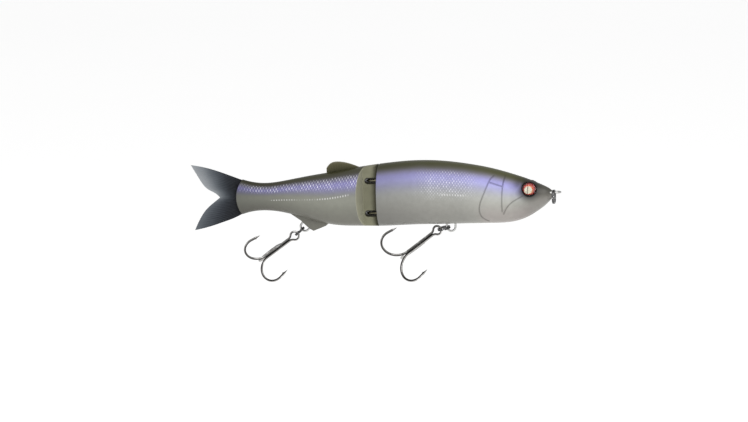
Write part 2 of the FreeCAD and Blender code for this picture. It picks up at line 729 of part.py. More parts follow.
def build():
    left, right = 1, -1
    front_joint = hook_joint(front_hanger_centres()[0], FRONT_RING_LIE, FRONT_RING_OUTER)
    rear_joint = hook_joint(rear_hanger_centres()[0], REAR_RING_LIE, REAR_RING_OUTER)
    front_double, front_single = hung_treble(FRONT_TREBLE, front_joint, FRONT_HOOK_LIE)
    rear_double, rear_single = hung_treble(REAR_TREBLE, rear_joint, REAR_HOOK_LIE)
    return {
        "front_shell_left": front_shell(left),
        "front_shell_right": front_shell(right),
        "rear_shell_left": rear_shell(left),
        "rear_shell_right": rear_shell(right),
        "eye_disc_left": eye_disc(left),
        "eye_disc_right": eye_disc(right),
        "eye_dome_left": eye_dome(left),
        "eye_dome_right": eye_dome(right),
        "line_tie_eye": line_tie_eye(),
        "nose_split_ring": nose_split_ring(),
        "hinge_eye_upper": hinge_eye(EYE_HEIGHTS["upper"]),
        "hinge_eye_lower": hinge_eye(EYE_HEIGHTS["lower"]),
        "hinge_pin": hinge_pin(),
        "front_hook_hanger": front_hook_hanger(),
        "rear_hook_hanger": rear_hook_hanger(),
        "front_split_ring": front_split_ring(),
        "rear_split_ring": rear_split_ring(),
        "front_treble_double": front_double,
        "front_treble_single": front_single,
        "rear_treble_double": rear_double,
        "rear_treble_single": rear_single,
        "ballast_fore": ballast_fore(),
        "ballast_aft": ballast_aft(),
        "ballast_rear": ballast_rear(),
        "dorsal_fin": dorsal_fin(),
        "tail_fin": tail_fin(),
    }


os.makedirs("parts", exist_ok=True)
for name, shape in build().items():
    shape.exportStep("parts/" + name + ".step")
    print(name, len(shape.Solids), shape.isValid(), round(shape.Volume, 1))
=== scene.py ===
# %% [markdown]
# # A jointed swimbait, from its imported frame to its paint
# The bait is two hollow plastic sections on one upright pin, with a soft tail, a soft back fin,
# wire fittings and two treble hooks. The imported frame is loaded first, because it fixes where
# every piece sits and what it moves with. Each visible piece is then built around it, finer than
# the frame, and rides on one of the frame's bodies.

# %% Load the frame
import json
import math

import bmesh
import bpy
import numpy as np
from mathutils import Matrix, Vector


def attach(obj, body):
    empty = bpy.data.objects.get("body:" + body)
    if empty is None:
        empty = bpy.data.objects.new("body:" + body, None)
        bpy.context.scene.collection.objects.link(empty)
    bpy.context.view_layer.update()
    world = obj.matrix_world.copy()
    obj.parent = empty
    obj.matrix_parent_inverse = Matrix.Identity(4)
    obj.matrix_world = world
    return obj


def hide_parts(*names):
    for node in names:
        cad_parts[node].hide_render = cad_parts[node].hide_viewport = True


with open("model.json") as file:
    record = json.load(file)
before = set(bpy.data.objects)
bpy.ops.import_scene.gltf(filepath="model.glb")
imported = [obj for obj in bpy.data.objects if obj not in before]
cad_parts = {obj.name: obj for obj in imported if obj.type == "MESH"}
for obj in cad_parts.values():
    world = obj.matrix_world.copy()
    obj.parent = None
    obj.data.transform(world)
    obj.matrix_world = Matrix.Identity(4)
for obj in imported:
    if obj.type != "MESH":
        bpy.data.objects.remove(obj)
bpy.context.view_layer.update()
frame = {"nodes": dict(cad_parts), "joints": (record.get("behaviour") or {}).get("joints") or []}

# %% [markdown]
# ## Shared sizes
# The frame's origin is the middle of the line tie's outer bend, +X points the way the fish swims
# and +Z up. A lure maker measures stations back from the tip of the nose, so the same is done
# here, in millimetres. One helper turns a station into a point, and one more turns lists of points
# and faces into a finished piece: smooth, with sharp corners kept, riding on its body.

# %% Stations and pieces
MM = 0.001
MERGE = 1e-7
TIE_REACH = 2.05
FORWARD, LEFT, UP = Vector((1, 0, 0)), Vector((0, 1, 0)), Vector((0, 0, 1))
SHARP = math.radians(38)


def at(station, y, z):
    """The point in millimetres at a station, y to the left and z up."""
    return Vector((-(TIE_REACH + station), y, z))


def add_object(name, data):
    """A new object in the scene."""
    obj = bpy.data.objects.new(name, data)
    bpy.context.scene.collection.objects.link(obj)
    return obj


def mesh_object(name, points, faces=(), edges=()):
    """A mesh in metres from points in millimetres."""
    mesh = bpy.data.meshes.new(name)
    mesh.from_pydata([tuple(c * MM for c in p) for p in points], edges, faces)
    return add_object(name, mesh)


def face_out(obj):
    """Merges doubled points and turns every face outwards."""
    work = bmesh.new()
    work.from_mesh(obj.data)
    bmesh.ops.remove_doubles(work, verts=work.verts, dist=MERGE)
    bmesh.ops.dissolve_degenerate(work, edges=work.edges, dist=MERGE)
    bmesh.ops.recalc_face_normals(work, faces=work.faces)
    work.to_mesh(obj.data)
    work.free()


def solid(name, points, faces):
    """A closed piece with its faces turned outwards."""
    obj = mesh_object(name, points, faces)
    face_out(obj)
    return obj


def stack(name, points, count, joined=False):
    """A solid from rings of count points, capped at both ends or joined round into a loop."""
    rings = len(points) // count
    faces = []
    for k in range(rings if joined else rings - 1):
        here, there = k * count, (k + 1) % rings * count
        faces += [(here + i, here + (i + 1) % count, there + (i + 1) % count, there + i)
                  for i in range(count)]
    if not joined:
        faces += [tuple(range(count)), tuple(range((rings - 1) * count, rings * count))]
    return solid(name, points, faces)


def write_vectors(obj, name, values):
    """Stores one vector for each point."""
    attribute = obj.data.attributes.new(name, "FLOAT_VECTOR", "POINT")
    attribute.data.foreach_set("vector", np.asarray(values, float).ravel())


def take_mesh(obj, modifier):
    """The plain mesh that a modifier makes of obj."""
    mesh = bpy.data.meshes.new_from_object(
        obj.evaluated_get(bpy.context.evaluated_depsgraph_get()))
    obj.modifiers.remove(modifier)
    return mesh


def settle(obj, body, nodes, material=None, sharp=SHARP):
    """Shades a piece, gives it its finish, and hands it to the frame."""
    for polygon in obj.data.polygons:
        polygon.use_smooth = True
    obj.data.set_sharp_from_angle(angle=sharp)
    if material:
        obj.data.materials.clear()
        obj.data.materials.append(material)
    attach(obj, body)
    if nodes:
        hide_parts(*nodes)
    print(obj.name, len(obj.data.polygons), "faces on", body)
    return obj


def join(name, pieces):
    """One object out of several, keeping each one's points where they are."""
    work = bmesh.new()
    for piece in pieces:
        work.from_mesh(piece.data)
        bpy.data.objects.remove(piece)
    mesh = bpy.data.meshes.new(name)
    work.to_mesh(mesh)
    work.free()
    return add_object(name, mesh)


# %% [markdown]
# ## The hull
# The body was carved from a table of offsets: at each station the height of the back, the depth
# of the belly and half the width. A smooth spline runs through each column, and every section is a
# slightly squared ellipse, so the hull can be worked out at any station as finely as needed.

# %% Table of offsets and its splines
HULL = np.array([
    (0.0, 0.5, -2.3, 1.4), (0.7, 1.4, -3.5, 2.4), (2.0, 2.3, -4.9, 3.4), (4.0, 3.3, -6.7, 4.4),
    (7.0, 4.6, -8.9, 5.6), (12.0, 6.6, -11.9, 7.2), (20.0, 9.2, -14.4, 9.1),
    (30.0, 11.9, -15.0, 10.4), (42.0, 14.1, -15.2, 11.2), (56.0, 15.6, -15.5, 11.5),
    (70.0, 15.6, -15.8, 11.5), (84.0, 14.2, -16.4, 11.0), (96.0, 12.4, -16.4, 10.2),
    (108.0, 10.2, -15.9, 9.0), (120.0, 8.2, -13.3, 7.4), (132.0, 5.9, -10.1, 5.7),
    (143.0, 4.6, -8.9, 4.6), (150.0, 5.4, -9.7, 4.2), (158.0, 7.8, -12.4, 4.0),
])
BACK_FULLNESS, BELLY_FULLNESS = 2.05, 2.25
WIDEST_RISE = 0.10


def spline(knots, values):
    """A natural cubic spline through values (a column or several) at knots."""
    knots = np.asarray(knots, float)
    values = np.asarray(values, float)
    gaps = np.diff(knots)
    count = len(knots)
    system = np.eye(count)
    right = np.zeros_like(values)
    slopes = (np.diff(values, axis=0).T / gaps).T
    for i in range(1, count - 1):
        system[i, i - 1:i + 2] = gaps[i - 1], 2 * (gaps[i - 1] + gaps[i]), gaps[i]
        right[i] = 6 * (slopes[i] - slopes[i - 1])
    curve = np.linalg.solve(system, right)

    def value(where):
        where = np.atleast_1d(np.asarray(where, float))
        i = np.clip(np.searchsorted(knots, where) - 1, 0, count - 2)
        a = (where - knots[i]).reshape((-1,) + (1,) * (values.ndim - 1))
        h = gaps[i].reshape(a.shape)
        b = h - a
        bow = curve[i] * b * (b * b - h * h) + curve[i + 1] * a * (a * a - h * h)
        return (values[i] * b + values[i + 1] * a + bow / 6) / h

    return value


HULL_COLUMNS = spline(np.sqrt(HULL[:, 0]), HULL[:, 1:])


def offsets(stations):
    """Back height, belly height, half width and widest height at each station."""
    back, belly, half = HULL_COLUMNS(np.sqrt(np.atleast_1d(stations))).T
    return back, belly, half, (back + belly) / 2 + WIDEST_RISE * (back - belly) / 2


def section(stations, turns):
    """The hull at paired stations and turns: half breadth, height and the outward square to it."""
    back, belly, half, widest = offsets(stations)
    above = np.asarray(turns) > 0
    fullness = np.where(above, BACK_FULLNESS, BELLY_FULLNESS)
    reach = np.where(above, back - widest, widest - belly)
    c = np.clip(np.cos(turns), 0, 1)
    s = np.abs(np.sin(turns))
    y = half * c ** (2 / fullness)
    z = widest + np.sign(turns) * reach * s ** (2 / fullness)
    normal = np.stack([c / half, np.sign(turns) * s / reach], 1)
    normal /= np.linalg.norm(normal, axis=1)[:, None]
    return y, z, normal


print("hull length", HULL[-1, 0], "mm, widest", 2 * HULL[:, 3].max(), "mm")

# %% [markdown]
# ## Helpers for node trees
# Every finish and every wire tree is made of small nodes. This short hand adds a node, sets its
# plain values and links its inputs in one line, so a tree reads from top to bottom.

# %% Node shorthand
def node(tree, kind, inputs=None, **settings):
    """Adds a node. A value in inputs is a socket to link, or a plain value to set."""
    made = tree.nodes.new(kind)
    for key, value in settings.items():
        setattr(made, key, value)
    for key, value in (inputs or {}).items():
        socket = made.inputs[key]
        if isinstance(value, bpy.types.NodeSocket):
            tree.links.new(value, socket)
        else:
            socket.default_value = value
    return made


def calc(tree, operation, a, b=0.0, c=0.0):
    """One step of arithmetic."""
    return node(tree, "ShaderNodeMath", {0: a, 1: b, 2: c}, operation=operation).outputs[0]


def times(tree, a, b):
    return calc(tree, "MULTIPLY", a, b)


def plus(tree, a, b):
    return calc(tree, "ADD", a, b)


def less(tree, a, b):
    return calc(tree, "SUBTRACT", a, b)


def scaled(tree, a, b, c):
    """a times b, plus c."""
    return calc(tree, "MULTIPLY_ADD", a, b, c)


def distance(tree, a, b):
    """How far the place (a, b) is from the middle."""
    return calc(tree, "SQRT", plus(tree, times(tree, a, a), times(tree, b, b)))


def remap(tree, value, low, high, start=0.0, end=1.0, shape="LINEAR"):
    """start at low and end at high, and held beyond them."""
    made = node(tree, "ShaderNodeMapRange", {"Value": value, "From Min": low, "From Max": high,
                                             "To Min": start, "To Max": end},
                interpolation_type=shape)
    return made.outputs["Result"]


def band(tree, value, low, high):
    """0 below low, 1 above high, smooth between."""
    return remap(tree, value, low, high, shape="SMOOTHSTEP")


def window(tree, value, low, high, soft):
    """1 between low and high, fading to 0 over soft outside them."""
    return less(tree, band(tree, value, low - soft, low), band(tree, value, high, high + soft))


def srgb(red, green, blue):
    """A linear colour from three 0 to 255 values."""
    parts = [c / 255 for c in (red, green, blue)]
    return [p / 12.92 if p <= 0.04045 else ((p + 0.055) / 1.055) ** 2.4 for p in parts] + [1.0]


def ramp(tree, value, stops, interpolation="B_SPLINE"):
    """A colour for a value, from (place, red, green, blue) stops."""
    made = node(tree, "ShaderNodeValToRGB", {0: value})
    made.color_ramp.interpolation = interpolation
    elements = made.color_ramp.elements
    while len(elements) < len(stops):
        elements.new(0.5)
    for element, (place, *colour) in zip(elements, stops):
        element.position = place
        element.color = srgb(*colour)
    return made.outputs["Color"]


def mix(tree, share, a, b, blend="MIX"):
    """Mixes two colours."""
    return node(tree, "ShaderNodeMix", {0: share, 6: a, 7: b}, data_type="RGBA",
                blend_type=blend).outputs[2]


def over(tree, colour, mask, share, tint):
    """A tint laid over a colour where the mask is, share strong at most."""
    return mix(tree, times(tree, mask, share), colour, tint)


def finish_of(name, **constants):
    """A new material and its principled shader, with the constants set on the shader."""
    material = bpy.data.materials.new(name)
    material.use_nodes = True
    tree = material.node_tree
    shader = tree.nodes["Principled BSDF"]
    for key, value in constants.items():
        shader.inputs[key.replace("_", " ")].default_value = value
    return material, tree, shader


def feed(tree, shader, **values):
    """Links values to the shader's inputs."""
    for key, value in values.items():
        tree.links.new(value, shader.inputs[key.replace("_", " ")])


def stored(tree, name):
    """The three parts of a point attribute."""
    read = node(tree, "ShaderNodeAttribute", attribute_name=name)
    return node(tree, "ShaderNodeSeparateXYZ", {0: read.outputs["Vector"]}).outputs


def noise(tree, scale, detail=3.0, vector=None):
    """Fractal noise on Object coordinates, or on the vector given."""
    if vector is None:
        vector = node(tree, "ShaderNodeTexCoord").outputs["Object"]
    return node(tree, "ShaderNodeTexNoise", {"Vector": vector, "Scale": scale,
                                             "Detail": detail}).outputs["Fac"]


def bump(tree, shader, height, strength, distance):
    """Relief from a height, in metres of distance."""
    made = node(tree, "ShaderNodeBump", {"Height": height, "Strength": strength,
                                         "Distance": distance})
    tree.links.new(made.outputs["Normal"], shader.inputs["Normal"])


def spotted(name, spots, dark, pale, relief=None, **constants):
    """A finish in two tones. spots is a noise's scale and detail, then the band it is cut to if it
    has one. relief is the scale, detail, strength and depth in millimetres of its bumps."""
    material, tree, shader = finish_of(name, **constants)
    share = noise(tree, *spots[:2])
    if spots[2:]:
        share = band(tree, share, *spots[2:])
    feed(tree, shader, Base_Color=mix(tree, share, srgb(*dark), srgb(*pale)))
    if relief:
        scale, detail, strength, depth = relief
        bump(tree, shader, noise(tree, scale, detail), strength, depth * MM)
    return material, tree, shader


# %% [markdown]
# ## Airbrushed pearl paint
# The body is sprayed: an olive back, a lavender pearl band under it, silver flanks and a grey
# belly, then a clear coat. The colours follow the fish and not the world, so each body mesh
# carries two attributes. "skin" holds the station, the way round from the back in millimetres, and
# the drop from back to belly as a share. "marks" holds engraved depth, bare plastic, and the dark
# airbrushing round the eye together with painted shade in the hollow and slots where the sections
# meet. Under the clear coat a net of small scales shows as painted glints and faint relief.

# %% Paint for the two sections
SECTION_PAINT = {
    "front": {
        "stops": [(0.0, 64, 65, 34), (0.06, 74, 74, 42), (0.12, 117, 114, 122),
                  (0.19, 147, 144, 200), (0.28, 161, 160, 208), (0.38, 168, 169, 184),
                  (0.48, 171, 172, 168), (0.60, 163, 163, 156), (0.78, 149, 148, 142),
                  (1.0, 137, 136, 130)],
        "fade": [(0.0, 204), (10.0, 214), (20.0, 254), (31.0, 254), (44.0, 231), (58.0, 226),
                 (70.0, 210), (85.6, 192)],
        "rows": [(0.10, 0), (0.16, 190), (0.30, 235), (0.46, 215), (0.54, 120), (0.62, 0)],
        "net": (44.0, 57.0, 12.0), "pitch": (1.45, 1.05), "line": ((39.0, 0.50), (54.0, 0.50)),
    },
    "rear": {
        "stops": [(0.0, 52, 52, 31), (0.08, 62, 61, 41), (0.15, 98, 96, 112),
                  (0.23, 126, 122, 180), (0.31, 124, 122, 158), (0.42, 132, 133, 124),
                  (0.52, 137, 138, 128), (0.66, 124, 125, 115), (0.86, 112, 111, 103),
                  (1.0, 107, 106, 98)],
        "fade": [(85.0, 240), (104.0, 244), (124.0, 232), (140.0, 208), (158.0, 178)],
        "rows": [(0.09, 0), (0.13, 225), (0.28, 255), (0.33, 120), (0.38, 0)],
        "net": (97.0, 150.0, 9.0), "pitch": (1.45, 1.30), "line": ((99.0, 0.43), (139.0, 0.60)),
    },
}
NOSE_STOPS = [(0.0, 70, 70, 60), (0.22, 84, 82, 78), (0.48, 108, 106, 99), (0.66, 130, 127, 122),
              (1.0, 136, 134, 129)]
# The last span is where the shoulders' faces take their painted light.
NOSE_BLEND, BLUSH_SPAN, SHOULDER_LIGHT_BLEND = (5.0, 16.0), (14.0, 30.0, 8.0), (92.7, 93.6)
PIERCING_PITCH, PIERCING_HALF, PIERCING_SOFT = 1.3, 0.008, 0.022
TINT = {name: srgb(*rgb) for name, rgb in {
    "blush": (160, 147, 146), "scale shine": (244, 244, 252), "scale edge": (84, 82, 100),
    "piercing": (236, 236, 236), "mottle": (70, 68, 62), "groove": (52, 50, 47),
    # "shoulder" is painted light: a paler bare tone for the shoulders' forward faces.
    "bare dark": (112, 111, 91), "bare": (128, 127, 107), "shoulder": (150, 149, 130),
    "shade": (26, 22, 18)}.items()}


def scale_net(tree, station, girth, pitch):
    """The net of scales: how far a point is from its scale's middle, its place along the scale,
    and a number per scale."""
    across = calc(tree, "DIVIDE", girth, pitch[1])
    row = calc(tree, "FLOOR", across)
    along = scaled(tree, row, 0.5, calc(tree, "DIVIDE", station, pitch[0]))
    u, v = (less(tree, calc(tree, "FRACT", value), 0.5) for value in (along, across))
    cell = node(tree, "ShaderNodeCombineXYZ", {0: calc(tree, "FLOOR", along), 1: row})
    glint = node(tree, "ShaderNodeTexWhiteNoise", {"Vector": cell.outputs[0]},
                 noise_dimensions="3D")
    return distance(tree, u, v), u, glint.outputs["Value"]


def dotted_line(tree, station, drop, first, last):
    """A row of pierced scales between two (station, drop) places."""
    (start, high), (end, low) = first, last
    off = calc(tree, "ABSOLUTE", less(tree, drop, remap(tree, station, start, end, high, low)))
    beat = calc(tree, "FRACT", calc(tree, "DIVIDE", station, PIERCING_PITCH))
    gap = band(tree, calc(tree, "ABSOLUTE", less(tree, beat, 0.5)), 0.12, 0.30)
    seam = times(tree, less(tree, 1.0, gap),
                 less(tree, 1.0, band(tree, off, PIERCING_HALF, PIERCING_SOFT)))
    return times(tree, seam, window(tree, station, start + 2, end - 2, 3.0))


def body_paint(name, stops, net, rows, fade, pitch, line):
    """Paint over one section. net is where its scales start and end and how softly, rows how
    bright they are at each drop from back to belly, fade how the whole finish lightens along the
    length, pitch the scales' size and line the two ends of its dotted line."""
    material, tree, shader = finish_of(name, Metallic=0.10, Roughness=0.38, Coat_Weight=0.12,
                                       Coat_Roughness=0.14, Specular_IOR_Level=0.20)
    station, girth, drop = stored(tree, "skin")
    depth, bare, shade = stored(tree, "marks")
    sprayed = scaled(tree, less(tree, noise(tree, 55.0, 2.0), 0.5), 0.05, drop)
    first, last = fade[0][0], fade[-1][0]
    light = ramp(tree, remap(tree, station, first, last),
                 [((s - first) / (last - first), g, g, g) for s, g in fade], "LINEAR")
    colour = mix(tree, 1.0, ramp(tree, sprayed, stops), light, "MULTIPLY")
    nose = less(tree, 1.0, band(tree, station, *NOSE_BLEND))
    colour = mix(tree, nose, colour, ramp(tree, sprayed, NOSE_STOPS))
    blush = times(tree, window(tree, station, *BLUSH_SPAN), band(tree, drop, 0.55, 0.85))
    colour = over(tree, colour, blush, 0.30, TINT["blush"])
    # Painted highlights: white crescents on each scale's rear edge stand in for glints of light off
    # the scales.
    far, u, glint = scale_net(tree, station, girth, pitch)
    strength = ramp(tree, sprayed, [(d, g, g, g) for d, g in rows], "EASE")
    zone = times(tree, strength, window(tree, station, *net))
    patchy = band(tree, noise(tree, 160.0, 2.0), 0.25, 0.62)
    zone = times(tree, zone, scaled(tree, patchy, 0.6, 0.4))
    crescent = times(tree, window(tree, far, 0.34, 0.44, 0.08), band(tree, u, -0.05, 0.25))
    shine = times(tree, crescent, scaled(tree, glint, 0.7, 0.3))
    colour = over(tree, colour, zone, shine, TINT["scale shine"])
    edge = band(tree, far, 0.44, 0.60)
    colour = over(tree, colour, zone, times(tree, edge, 0.42), TINT["scale edge"])
    uneven = scaled(tree, band(tree, noise(tree, 210.0, 2.0), 0.35, 0.6), 0.40, 0.08)
    colour = over(tree, colour, dotted_line(tree, station, drop, *line), uneven, TINT["piercing"])
    mottle = band(tree, noise(tree, 420.0, 4.0), 0.30, 0.78)
    colour = over(tree, colour, mottle, 0.10, TINT["mottle"])
    colour = over(tree, colour, depth, 0.50, TINT["groove"])
    wear_and_painted_light = mix(tree, band(tree, noise(tree, 90.0, 5.0), 0.3, 0.75), TINT["bare dark"],
               TINT["bare"])
    # Painted light: the shoulders' forward faces are painted paler, against the shade they fall in.
    wear_and_painted_light = mix(tree, band(tree, station, *SHOULDER_LIGHT_BLEND), wear_and_painted_light, TINT["shoulder"])
    # shade carries the airbrushing round the eye and the painted shade in the hollow and slots.
    colour = mix(tree, shade, mix(tree, bare, colour, wear_and_painted_light), TINT["shade"])
    rough = scaled(tree, noise(tree, 300.0, 4.0), 0.16, 0.30)
    feed(tree, shader, Base_Color=colour, Roughness=scaled(tree, bare, 0.18, rough))
    grain = times(tree, noise(tree, 2600.0, 2.0), 0.18)
    dome = times(tree, less(tree, 1.0, edge), zone)
    bump(tree, shader, plus(tree, dome, grain), 0.35, 0.05 * MM)
    return material


paints = {part: body_paint(part + "_pearl_paint", **recipe)
          for part, recipe in SECTION_PAINT.items()}
print("paints:", [m.name for m in paints.values()])

# %% [markdown]
# ## Engraving on the head
# A mould maker cuts the gill cover, the cheek and the jaw into the steel, and they come out as
# fine grooves on the plastic. They are real relief here: each line is a smooth curve of station
# and height, and points of the dense head mesh near it are pushed in.

# %% Engraved lines
GROOVE_DEPTH, GROOVE_WIDTH = 0.30, 0.32
ENGRAVED_FROM, ENGRAVED_TO = 11, 37
ENGRAVED = {
    "gill cover": [(27.8, 8.9), (29.3, 7.1), (30.4, 4.7), (32.1, 0.7), (34.0, -4.0), (34.7, -8.1),
                   (33.7, -11.4), (30.6, -13.6)],
    "cheek": [(22.3, 8.4), (22.7, 6.9), (23.1, 4.1), (23.4, 0.6), (23.6, -4.6), (23.6, -8.6)],
    "temple": [(29.8, 5.8), (26.5, 4.7), (23.1, 3.6)],
    "jaw": [(13.6, -1.2), (15.3, -2.1), (18.8, -4.2), (21.6, -7.3), (23.0, -10.0)],
}


def smooth_line(points, count=60):
    """Points along a smooth curve through a few points."""
    points = np.array(points, float)
    steps = np.concatenate([[0], np.cumsum(np.linalg.norm(np.diff(points, axis=0), axis=1))])
    return spline(steps, points)(np.linspace(0, steps[-1], count))


def distance_to_line(where, line):
    """How far each 2-D point is from a line of short pieces."""
    nearest = np.full(len(where), 1e9)
    for a, b in zip(line, line[1:]):
        along = b - a
        share = np.clip(((where - a) @ along) / (along @ along), 0, 1)
        nearest = np.minimum(nearest, np.linalg.norm(where - a - share[:, None] * along, axis=1))
    return nearest


def engraving(stations, heights):
    """How deep the grooves are at each point, from 0 to 1."""
    where = np.stack([stations, heights], 1)
    depth = np.zeros(len(where))
    head = (stations > ENGRAVED_FROM) & (stations < ENGRAVED_TO)
    for line in ENGRAVED.values():
        near = distance_to_line(where[head], smooth_line(line))
        depth[head] = np.maximum(depth[head], np.exp(-(near / GROOVE_WIDTH) ** 2))
    return depth


print("engraved lines:", list(ENGRAVED))

# %% [markdown]
# ## A body half from a grid
# Each half is a grid of rows and columns: a row is one station, and a column one place round the
# section. A closing face along the middle plane makes it a solid, which the two boolean cuts
# need: the eye's socket in the head, and the hollow that the hinge tongue turns in.

# %% Grid to solid
TURNED_SIDES = 96
def half_from_grid(name, stations, heights, breadths, side):
    """A closed half body. Rows are stations, columns go from the back to the belly."""
    rows, columns = stations.shape
    points = [at(s, side * y, z) for s, y, z in
              zip(stations.ravel(), breadths.ravel(), heights.ravel())]
    faces = []
    for i in range(rows - 1):
        for j in range(columns - 1):
            a = i * columns + j
            faces.append((a, a + 1, a + columns + 1, a + columns))
        top, foot = i * columns, i * columns + columns - 1
        faces.append((top, top + columns, foot + columns, foot))
    faces.append(tuple(range(columns)))
    faces.append(tuple((rows - 1) * columns + j for j in reversed(range(columns))))
    return solid(name, points, faces)


def cut(obj, tool):
    """Takes the tool's shape out of obj."""
    modifier = obj.modifiers.new("cut", "BOOLEAN")
    modifier.operation = "DIFFERENCE"
    modifier.solver = "EXACT"
    modifier.object = tool
    obj.data = take_mesh(obj, modifier)
    bpy.data.objects.remove(tool)


def turned(name, origin, axis, profile):
    """A closed turned shape: profile is (radius, height) from one end of the axis to the other."""
    turn = axis.to_track_quat("Z", "Y").to_matrix()
    angles = [2 * math.pi * k / TURNED_SIDES for k in range(TURNED_SIDES)]
    points = [origin + turn @ Vector((math.cos(a) * radius, math.sin(a) * radius, height))
              for radius, height in profile for a in angles]
    return stack(name, points, TURNED_SIDES)


def turned_ring(name, origin, axis, profile):
    """A closed turned ring: profile is a closed loop of (radius, height)."""
    turn = axis.to_track_quat("Z", "Y").to_matrix()
    angles = [2 * math.pi * k / TURNED_SIDES for k in range(TURNED_SIDES)]
    points = [origin + turn @ Vector((math.cos(a) * radius, math.sin(a) * radius, height))
              for a in angles for radius, height in profile]
    return stack(name, points, len(profile), joined=True)


def rod(centre, direction, radius, length):
    """A plain rod used as a cutting tool, from centre along direction."""
    return turned("rod", centre, direction, [(radius, 0), (radius, length)])


# %% Skin and mark attributes
EYE_STATION, EYE_HEIGHT = 10.5, 2.3
SHOULDER_ROOT, SHOULDER_SLOPE, TONGUE_HALF = 93.2, 0.375, 4.0
BODY_LENGTH = 158
GIRTH_ROWS, GIRTH_COLUMNS = 80, 90


def girth_table():
    """The way round from the back, in millimetres, over a net of stations and turns."""
    stations = np.linspace(0.0, BODY_LENGTH, GIRTH_ROWS)
    turns = np.linspace(math.pi / 2, -math.pi / 2, GIRTH_COLUMNS)
    grid_s, grid_t = np.meshgrid(stations, turns, indexing="ij")
    y, z, _ = section(grid_s.ravel(), grid_t.ravel())
    y, z = y.reshape(grid_s.shape), z.reshape(grid_s.shape)
    steps = np.hypot(np.diff(y, axis=1), np.diff(z, axis=1))
    return stations, turns, np.pad(np.cumsum(steps, axis=1), ((0, 0), (1, 0)))


GIRTHS = girth_table()


def girth_at(stations, turns):
    """The girth table read between its rows and columns."""
    rows, columns, table = GIRTHS
    i = np.clip((stations / rows[-1]) * (len(rows) - 1), 0, len(rows) - 1.001)
    j = np.clip((columns[0] - turns) / math.pi * (len(columns) - 1), 0, len(columns) - 1.001)
    i0, j0 = i.astype(int), j.astype(int)
    a, b = i - i0, j - j0
    top = table[i0, j0] * (1 - b) + table[i0, j0 + 1] * b
    low = table[i0 + 1, j0] * (1 - b) + table[i0 + 1, j0 + 1] * b
    return top * (1 - a) + low * a


def eye_shade(station, z):
    """The dark airbrushing round the eye: a ring close to it, and a patch behind and above."""
    ring = np.clip(1 - (np.hypot(station - EYE_STATION - 0.3, z - EYE_HEIGHT) - 3.7) / 3.6, 0, 1)
    behind = np.exp(-((station - 15.6) / 3.2) ** 2 - ((z - 4.4) / 2.6) ** 2)
    return np.maximum(0.80 * ring ** 1.4, 0.60 * behind)


def mark_skin(obj, bare_rule):
    """Writes the paint's attributes on every point of a body half."""
    count = len(obj.data.vertices)
    points = np.empty(count * 3)
    obj.data.vertices.foreach_get("co", points)
    points = points.reshape(-1, 3) / MM
    station = np.clip(-points[:, 0] - TIE_REACH, 0, BODY_LENGTH)
    y, z = np.abs(points[:, 1]), points[:, 2]
    back, belly, half, widest = offsets(station)
    reach = np.where(z > widest, back - widest, widest - belly)
    turn = np.arctan2((z - widest) / reach, y / half)
    drop = np.clip((back - z) / (back - belly), 0, 1)
    skin = np.stack([station, girth_at(station, turn), drop], 1)
    bare, dark = bare_rule(station, y, z)
    marks = np.stack([engraving(station, z), bare, np.maximum(dark, eye_shade(station, z))], 1)
    write_vectors(obj, "skin", skin)
    write_vectors(obj, "marks", marks)


# %% [markdown]
# ## Front section
# Rows are close together over the head, where the engraving is, and wide apart behind it. The
# last rows roll in to a rounded rim, and the first ones round off the tip of the nose.

# %% Front halves
RIM, RIM_ROUND, NOSE_ROUND = 85.6, 0.35, 0.30
NOSE_END, HEAD_END = 8, 36
PIVOT, TONGUE_GAP, HOLLOW_REACH = 89.8, 0.6, 30
EYE_RADIUS, EYE_DEPTH, SOCKET_PLAY, SOCKET_LENGTH = 3.85, 1.5, 0.03, 8


def front_grid(columns=150):
    """Stations, heights and breadths of the front section's outside."""
    rows = np.concatenate([np.linspace(0, NOSE_END, 36)[:-1],
                           np.linspace(NOSE_END, HEAD_END, 150)[:-1],
                           np.linspace(HEAD_END, RIM - RIM_ROUND, 74)])
    roll = np.radians(np.linspace(12, 80, 6))
    rim = RIM - RIM_ROUND + RIM_ROUND * np.sin(roll)
    stations = np.concatenate([rows, rim])
    inset = np.concatenate([np.zeros(len(rows)), RIM_ROUND * (1 - np.cos(roll))])
    turns = np.linspace(math.pi / 2, -math.pi / 2, columns)
    s, t = np.meshgrid(stations, turns, indexing="ij")
    y, z, normal = section(s.ravel(), t.ravel())
    depth = GROOVE_DEPTH * engraving(s.ravel(), z) * (y > 1.0) + np.repeat(inset, columns)
    y = np.maximum(0.0, y - depth * normal[:, 0])
    z = z - depth * normal[:, 1]
    y[np.cos(t.ravel()) < 1e-9] = 0.0
    y, z = y.reshape(s.shape), z.reshape(s.shape)
    middle = (z[0].max() + z[0].min()) / 2
    angles = np.radians(np.linspace(84, 14, 6))[:, None]
    s = np.vstack([-NOSE_ROUND * np.sin(angles) * np.ones(columns), s])
    z = np.vstack([middle + (z[0] - middle) * np.cos(angles), z])
    y = np.vstack([y[0] * np.cos(angles), y])
    return s, z, y


